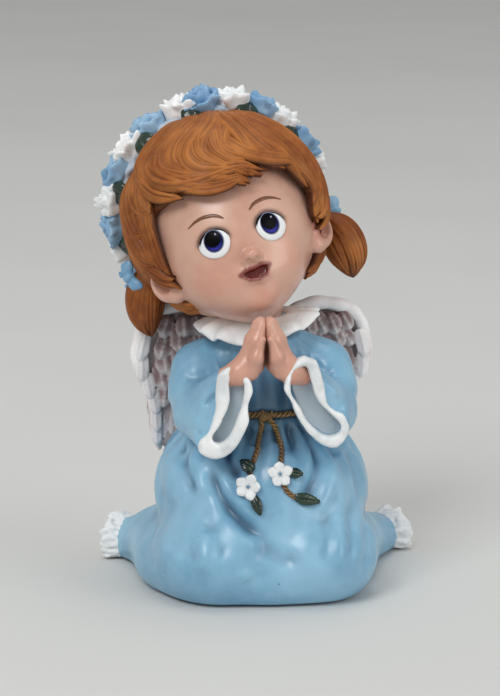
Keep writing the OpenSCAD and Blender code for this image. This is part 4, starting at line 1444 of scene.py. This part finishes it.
# Rows of short feathers on the front, from the top down: u and v of the first, length, width, count and lift
FRONT_ROWS = (
    (2.6, 12.0, 7.0, 4.4, 5, 2.7), (3.0, 8.8, 8.0, 4.7, 5, 2.3), (3.6, 4.6, 9.0, 4.8, 5, 1.9),
    (5.0, 0.0, 9.5, 4.8, 5, 1.5), (6.6, -5.2, 10.0, 4.8, 4, 1.0), (8.6, -11.0, 10.0, 4.6, 3, 0.5),
)
# White feathers down the outer rim: u, v, length and turn in degrees
RIM_FEATHERS = (
    (22.6, 7.5, 8.5, -78), (23.6, 1.5, 8.5, -88), (23.0, -4.5, 8.0, -101), (21.4, -9.5, 7.5, -100),
    (20.4, -14.5, 8.0, -92), (20.2, -20, 6.5, -90),
)


def feather(form, place, at, angle, length, width, lift, seed, bend, pale=0.0):
    """A carved feather: a raised quill and slanting barbs. place turns wing measures into points."""
    t = np.linspace(0, 1, 30)[:, None]
    s = np.linspace(-1, 1, 17)[None, :]
    turn = math.radians(angle) + bend * (t - 0.3)
    du = np.concatenate([[0], np.cumsum(np.cos(turn[:-1, 0]) * length / 29)])[:, None]
    dv = np.concatenate([[0], np.cumsum(np.sin(turn[:-1, 0]) * length / 29)])[:, None]
    outline = ease(-0.25, 0.35, t) ** 0.6 * np.sqrt(np.clip(1 - ease(0.55, 1.0, t) ** 2.2, 0.004, 1))
    outline = np.clip(outline, 0.03, 1)
    half = width / 2 * outline * (1 + 0.05 * np.sin(9 * t + seed) * np.sign(s))
    u = at[0] + du - np.sin(turn) * half * s
    v = at[1] + dv + np.cos(turn) * half * s
    barbs = t * length * 0.8 + np.abs(s) * width * 0.5 + 0.4 * np.sin(seed + 4 * t)
    barb = 0.5 + 0.5 * np.cos(2 * math.pi * barbs)
    quill = np.exp(-(s / 0.13) ** 2) * ease(1.0, 0.8, t)
    rise = lift + (0.5 * (1 - np.abs(s) ** 2.2) + 0.3 * s) * outline + 0.26 * (barb - 0.5) * (1 - quill)
    rise = rise + 0.35 * quill + t ** 1.5
    points, faces = thick_grid(place(u, v, rise), 0.9, edge=0.1)
    tip = ease(0.55, 1.0, t) + 0.75 * ease(0.6, 1.0, np.abs(s))
    low = 0.5 * (1 - barb) + 0.76 - 0.6 * tip - 0.5 * quill + 0.4 * ease(0.35, 0.0, t)
    low = np.clip(low * (1 - 0.97 * pale), 0, 0.95)
    form.add(points, faces, np.concatenate([low.ravel(), low.ravel()]))


def carried(form, points):
    """The wash of the nearest of a form's own points, for points of a skin cast over it."""
    source = np.concatenate(form.points)
    tree = KDTree(len(source))
    for k, p in enumerate(source.tolist()):
        tree.insert(p, k)
    tree.balance()
    nearest = [tree.find(p)[1] for p in points.tolist()]
    return np.concatenate(form.wash)[nearest]


def wing(side):
    name = SIDES[side] + "_wing"
    c, s = math.cos(WING_TILT), math.sin(WING_TILT)
    root = WING_ROOT * (side, 1, 1)
    reach, narrow = (1.0, 0.08) if side > 0 else (1.1, 0.0)      # the right wing is spread a little further

    def place(u, v, lift):
        """Wing measures: u outwards, v up, and lift forwards off the panel, which is a shallow dish."""
        u = u * reach * (1 - narrow * ease(-3, -12, v))
        forward = lift + 2.4 * np.clip((u - 4) / 24, 0, 1.2) ** 2 + 1.2 * np.clip(v / 16, 0, 1) ** 2
        return np.stack([root[0] + side * (u * c + forward * s), root[1] + u * s - forward * c,
                         root[2] + v + 0 * u], -1)

    def behind(u, v, lift):
        return place(u, v, -2.2 - lift)

    # the panel with its rim, a fat roll along the leading edge, and rows of long feathers on its back
    edge = curve(WING_EDGE, 90)[:-1]
    panel = Form()
    heart = np.array([12.0, -2.0])
    flat = heart + (edge[:, None] - heart) * np.linspace(0.04, 1, 16)[None, :, None]
    panel.add(*thick_grid(place(flat[..., 0], flat[..., 1], 0), 2.4, closed=True, edge=0.1), wash=0.6)
    centre = np.linspace(-1.2, 1.2, 4)
    tube(panel, place(heart[0] + 0 * centre, heart[1] + 0 * centre, centre * 0.8), 1.6, 12, wash=0.85)
    route = curve(WING_RIDGE, 80)
    t = np.linspace(0, 1, 80)
    thick = 2.35 * (0.86 + 0.14 * np.abs(np.sin(t * math.pi * 9))) * (1.05 - 0.5 * t)
    tube(panel, place(route[:, 0], route[:, 1], 2.3 - 1.2 * t), thick, 14, start=(0, -1, 0), wash=0.0)
    for r, (v0, length, lift) in enumerate(BACK_ROWS):
        for k in range(5):
            at = np.array([3.4 + 4.1 * k + 0.6 * (r % 2), v0 + 1.1 * k - 0.36 * k * k])
            feather(panel, behind, at, -84 - 1.5 * k + 4 * rng.normal(), length, 6.4,
                    lift + 0.35 * (k % 2), 70 + 10 * r + k, -0.1)

    # short feathers in rows across the front, each row lapping over the next one down
    coverts = Form()
    slope = -74 if side > 0 else -104
    for r, (u0, v0, length, width, count, lift) in reversed(list(enumerate(FRONT_ROWS))):
        for k in range(count):
            at = np.array([u0 + 3.6 * k + 0.5 * rng.normal(),
                           v0 + 0.6 * k - 0.36 * k * k * (0.3 + 0.08 * r) + 0.5 * rng.normal()])
            feather(coverts, place, at, slope + 5.4 * (k - 1.5) + 6 * rng.normal(),
                    length * (1 + 0.08 * rng.normal()), width * (1 + 0.08 * rng.normal()),
                    lift + 0.5 * (k % 2), 10 * r + k, 0.12 * rng.normal())
    for k, (u, v, length, turn) in enumerate(RIM_FEATHERS):
        feather(coverts, place, (u, v), turn, length, 3.8 - 0.2 * k, 3.4 - 0.3 * k, 30 + k, -0.1, pale=1)

    # long feathers below, in two layers
    flights = Form()
    for layer_no, lift in ((1, -1.3), (0, -0.4)):
        for k in range(7):
            f = k / 6
            at = np.array([20.2 - 11.5 * f + 0.8 * layer_no, -7.0 - 2.0 * f])
            feather(flights, place, at, -90 + 2 * f - 3 * layer_no, 20.5 - 9.5 * f + 1.5 * layer_no,
                    4.4, lift, 40 + k + 9 * layer_no, -0.05, pale=0.55 * (1 - f))

    for parts, label, node, step in (
            (panel, "_panel", "", 0.42), (coverts, "_short_feathers", "_coverts", 0.32),
            (flights, "_long_feathers", "_flight_feathers", 0.36)):
        points, quads = melt(parts, step, 0)
        wash = spread(carried(parts, points), quads, len(points))
        wash = np.clip(wash + 0.6 * hollows(points, quads, 5, 1.4), 0, 0.97)
        moulded(name + label, points, quads, wash, "wing_paint", name + node)


# ---------------------------------------------------------------- hems and feet

def hem_frame(s):
    """Where a hem is, the way the foot points out of it, and two directions across it."""
    at = hem_at[s]
    spin = math.radians(-s * 52)
    out = np.array([-math.sin(spin), math.cos(spin), 0.0])
    up = np.array([0.0, 0.0, 1.0])
    return at, out, np.cross(up, out), up


def frill(s):
    name = SIDES[s] + "_hem_trim"
    at, out, side, up = hem_frame(s)
    at = at - up * 0.5 - out * 1.4
    a = ring_of(120)[:, None]
    form = Form()
    for layer_no, (reach, flare, start) in enumerate(((5.6, 2.6, 0.0), (4.4, 2.2, 1.9))):
        v = np.linspace(0, 1, 11)[None, :]
        wave = np.sin(10 * a + 1.3 * np.sin(2 * a + layer_no) + layer_no * 2) + 0.6 * np.sin(27 * a + 1.7)
        r = 5.9 + layer_no * 0.4 + (flare - 0.7) * v ** 1.2 + (0.25 + 0.75 * v) * 0.55 * wave
        depth = -1.4 + start + (reach + 0.5 * np.sin(17 * a + layer_no)) * v
        grid = at + around(side, up, a) * r[..., None] + out * (depth + 0 * r)[..., None]
        grid[..., 2] = np.maximum(grid[..., 2], 1.3)
        form.add(*thick_grid(grid, 1.5, closed=True, edge=0.3))
    for k in range(12):
        r = 6.9 + 0.9 * rng.random()
        spot = at + around(side, up, GOLDEN * k) * r + out * (0.6 + 3.6 * rng.random())
        spot[2] = max(spot[2], 1.6)
        tube(form, np.array([spot, spot + out * 0.9 + (0, 0, 0.01), spot + out * 1.8]), [0.7, 1.2, 0.6], 8)
    points, quads = melt(form, 0.34, 1)
    streaks = points - out * (0.85 * (points @ out))[:, None]
    points = points + normals(points, quads) * (0.4 * rough_noise(streaks * 1.1, 2, 81 + s))[:, None]
    points[:, 2] = np.maximum(points[:, 2], 0.4)
    wash = np.clip(hollows(points, quads, 6, 2.0), 0, 0.8)
    moulded(name + "_frill", points, quads, wash, "white_trim", name)


def foot(s):
    name = SIDES[s] + "_foot"
    at, out, side, up = hem_frame(s)
    at = at - out * 0.5

    def spot(o, across, z):
        return at + out * o + side * (across * s) + up * z

    low, high = mm_box(name)

    def shape(p):
        d = chain(p, [spot(-3, 0, 0), spot(1.2, 0, -0.4), spot(2.4, 0.2, -0.6)], [4.3, 4.2, 3.6], 2)
        for k in range(5):
            toe = spot(4.6 - 0.4 * abs(k - 1), (k - 2) * 1.6, -0.8 - 0.2 * k)
            d = join(0.5, d, rod(p, spot(3.0, (k - 2) * 1.4, -0.8), toe, 1.1, 1.1 + 0.3 * (k == 0)))
        return -join(0.5, -d, p[2] - np.float32(0.9))

    points, quads = solid(low - (5, 5, 2), high + (5, 5, 3), 0.35, shape)
    made = moulded(name + "_skin", points, quads, hollows(points, quads, 6, 2.2), "skin_paint", name)
    layer(made, "blush", np.full(len(points), 0.35))


# ---------------------------------------------------------------- belt, cords, blossoms and leaves

def on_robe(tree, x, z):
    """The skin of the robe straight ahead of a place, and the way it faces."""
    hit = tree.ray_cast(Vector((x, -90, z)), Vector((0, 1, 0)))
    return np.array(hit[0]), -np.array(hit[1]) if hit[1][1] > 0 else np.array(hit[1])


def run_of(line):
    """How far along a line each of its points is."""
    return np.concatenate([[0], np.cumsum(np.linalg.norm(np.diff(line, axis=0), axis=1))])


def rope(form, path, radius, pitch):
    """Two strands twisted round each other along a path."""
    side, lift, _ = frames(path, False, (0, -1, 0))
    run = run_of(path)
    for k in range(2):
        line = path + around(side, lift, 2 * math.pi * (run / pitch + k / 2)) * radius * 0.62
        tube(form, line, radius * 0.54, 8, start=(0, -1, 0.1),
             groove=lambda angle, along: 1 + 0.12 * np.cos(3 * angle + along * 200))


def smooth_path(points, spacing):
    """A smooth line through points, with new points evenly spaced along it."""
    line = curve(points, 20 * len(points))
    run = run_of(line)
    want = np.linspace(0, run[-1], max(int(run[-1] / spacing), 4))
    return np.stack([np.interp(want, run, line[:, k]) for k in range(3)], 1)


def belt(tree):
    spots = []
    for t in ring_of(72):
        out = np.array([math.cos(t), math.sin(t), 0])
        hit = tree.ray_cast(Vector(np.array([0, -3, WAIST_Z]) + out * 40), Vector(-out))
        spots.append(np.array(hit[0]) + out * 0.55)
    spots = np.array(spots)
    for _ in range(3):
        spots = (2 * spots + np.roll(spots, 1, 0) + np.roll(spots, -1, 0)) / 4
    ring = smooth_path(np.vstack([spots, spots[:1]]), 0.34)
    form = Form()
    rope(form, ring, 0.85, 3.0)
    piece("belt_rope", form, "gold_cord", "rope_belt")


def belt_knot(tree):
    form = Form()
    front = middle("belt_knot")
    front[1] = on_robe(tree, front[0], WAIST_Z)[0][1] - 0.9
    for way in (-1, 1):
        route = np.array([(1.9, 0.2, 0.7), (0.9, -0.8, 0.2), (-0.9, -0.9, -0.3), (-1.3, 0, -1.3)])
        rope(form, smooth_path(front + route * (way, 1, 1), 0.3), 0.72, 2.2)
    route = [(-0.5, 0, 1.1), (-0.9, -1.2, 0), (0.3, -0.6, -1.1)]
    rope(form, smooth_path(front + route, 0.3), 0.72, 2.2)
    piece("belt_knot_rope", form, "gold_cord", "belt_knot")


CORDS = {"left_cord_end": [(0.4, 51.4), (2.6, 48.6), (3.7, 45.2), (3.8, 42.6), (3.2, 40.3)],
         "right_cord_end": [(-1.0, 51.2), (-1.7, 48), (-3.0, 44), (-4.6, 40.6), (-5.6, 37.6)]}
STUBS = {"left_cord_end": [(3.6, 35.4), (4.6, 33.2), (6.3, 31.7), (7.4, 31.3)],
         "right_cord_end": [(-5.2, 33.0), (-4.9, 31.2), (-4.2, 29.6)]}
BLOSSOMS = [(2.6, 37.5), (-6.1, 34.4)]
# Belt leaves: where the stalk is, as x and z, the turn of the leaf in degrees, and its length and width
BELT_LEAVES = [((-4.6, 38.4), 158, 4.9, 3.9), ((-4.7, 32.2), -72, 6.0, 3.0), ((5.6, 37.7), -14, 3.9, 3.1),
               ((6.6, 31.4), -14, 7.9, 3.5)]


def cord_ends(tree):
    for name, places in CORDS.items():
        form = Form()
        for route in (places, STUBS[name]):
            spots = [on_robe(tree, x, z) for x, z in curve(route, 16)]
            rope(form, smooth_path([at + out * 0.35 for at, out in spots], 0.28), 0.74, 2.6)
        piece(name + "_rope", form, "gold_cord", name)


def blossoms(tree):
    petals, hearts = Form(), Form()
    for k, (x, z) in enumerate(BLOSSOMS):
        at, out = on_robe(tree, x, z)
        out = unit(out + (0, -0.5, 0))
        side = unit(np.cross(out, (0, 0, 1)))
        up = np.cross(side, out)
        a = ring_of(90)[:, None]
        v = np.linspace(0.06, 1, 10)[None, :]
        # 1 between petals, 0 at a tip
        spoke = 2 * np.abs(np.mod((a + 0.35 + 0.9 * k) * 5 / (2 * math.pi), 1) - 0.5)
        r = 3.75 * (1 - 0.24 * spoke ** 1.15) * v * (1 + 0.05 * np.sin(3 * a + k))
        rise = 0.9 + 0.9 * v ** 2 - 0.45 * spoke ** 3 * v + 0.25 * (1 - spoke) ** 6 * v
        grid = at + around(side, up, a) * r[..., None] + out * rise[..., None]
        points, faces = thick_grid(grid, 1.1, closed=True, edge=0.25)
        low = np.clip(0.45 * spoke ** 6 * v + 0.3 * ease(0.45, 0.1, v), 0, 0.7)
        petals.add(points, faces, np.concatenate([low.ravel(), low.ravel()]))
        t = np.linspace(0.0, 1, 8)
        tube(hearts, at + out * (0.5 + 1.1 * t)[:, None], 0.85 * np.sqrt(1 - (0.98 * t) ** 2), 14, start=side,
             groove=lambda angle, along: 1 + 0.12 * np.cos(5 * angle))
    piece("blossom_petals", petals, "white_trim", "belt_flowers")
    piece("blossom_hearts", hearts, "bow_paint", "flower_centres")


def belt_leaves(tree):
    form = Form()
    for (x, z), turn, length, width in BELT_LEAVES:
        at, out = on_robe(tree, x, z)
        tip_x, tip_z = x + length * math.cos(math.radians(turn)), z + length * math.sin(math.radians(turn))
        tip = on_robe(tree, tip_x, tip_z)[0]
        leaf(form, at + out * 0.5, unit(tip - at), out, length, width, 0.55, 0.7, 0.35)
    piece("belt_leaf_blades", form, "leaf_paint", "belt_leaves")


# ---------------------------------------------------------------- making

robe_skin = robe()
for side in (-1, 1):
    cuff(side)
    sleeve(side)
hands()
skin = head()
eyes(skin)
brows(skin)
hair()
pigtails()
wreath_band()
roses()
wreath_leaves()
bows()
collar()
for side in (1, -1):
    wing(side)
for side in (1, -1):
    frill(side)
    foot(side)
for make in (belt, belt_knot, cord_ends, blossoms, belt_leaves):
    make(robe_skin)


# ---------------------------------------------------------------- floor, light and camera

def floor_paper():
    n = Nodes("studio_paper")
    colour = srgb(216, 217, 215)
    darker = tuple(0.97 * c for c in colour[:3]) + (1.0,)
    n.link(n.mix(n.ramp(n.noise(6, 2), 0.3, 0.7), colour, darker), n.shader.inputs["Base Color"])
    n.set("Roughness", 0.75)
    return n.material


def studio():
    """A wide pale floor that runs out of sight."""
    sides, rings = 64, (0.2, 0.5, 1.0, 2.0, 4.0, 9.0)
    flat = [(r * math.cos(a), r * math.sin(a), 0) for r in rings for a in ring_of(sides)]
    faces = fan(0, 1, sides) + weave(len(rings), sides, False, True, 1).tolist()
    mesh = bpy.data.meshes.new("studio_floor")
    mesh.from_pydata([(0, 0, 0)] + flat, [], faces)
    mesh.materials.append(floor_paper())
    floor = bpy.data.objects.new("studio_floor", mesh)
    bpy.context.scene.collection.objects.link(floor)


def lamp(name, place, target, size, power):
    data = bpy.data.lights.new(name, "AREA")
    data.size = size
    data.energy = power
    made = bpy.data.objects.new(name, data)
    made.location = place
    made.rotation_euler = (Vector(target) - Vector(place)).to_track_quat("-Z", "Y").to_euler()
    bpy.context.scene.collection.objects.link(made)


def camera():
    """A long lens a little above the figure, aimed at its middle."""
    target = Vector((-0.0029, 0.0, 0.0682))
    turn, lift, distance = math.radians(-5), math.radians(11), 0.9
    out = Vector((math.sin(turn) * math.cos(lift), -math.cos(turn) * math.cos(lift), math.sin(lift)))
    data = bpy.data.cameras.new("camera")
    data.sensor_fit = "VERTICAL"
    data.sensor_height = 36
    data.lens = 160.5
    made = bpy.data.objects.new("camera", data)
    made.location = target + out * distance
    made.rotation_euler = (-out).to_track_quat("-Z", "Y").to_euler()
    bpy.context.scene.collection.objects.link(made)
    bpy.context.scene.camera = made


studio()
lamp("key", (-0.9, -1.3, 1.5), (0, 0, 0.07), 0.9, 18.5)
lamp("fill", (1.5, -1.2, 0.8), (0, 0, 0.06), 1.2, 9.5)
lamp("top", (0.1, 0.2, 1.8), (0, 0, 0.05), 1.0, 6)
world = bpy.data.worlds.new("studio_air")
world.use_nodes = True
air = world.node_tree.nodes["Background"].inputs
air["Color"].default_value = (0.86, 0.86, 0.84, 1)
air["Strength"].default_value = 0.5
bpy.context.scene.world = world
bpy.context.scene.view_settings.view_transform = "Standard"
camera()
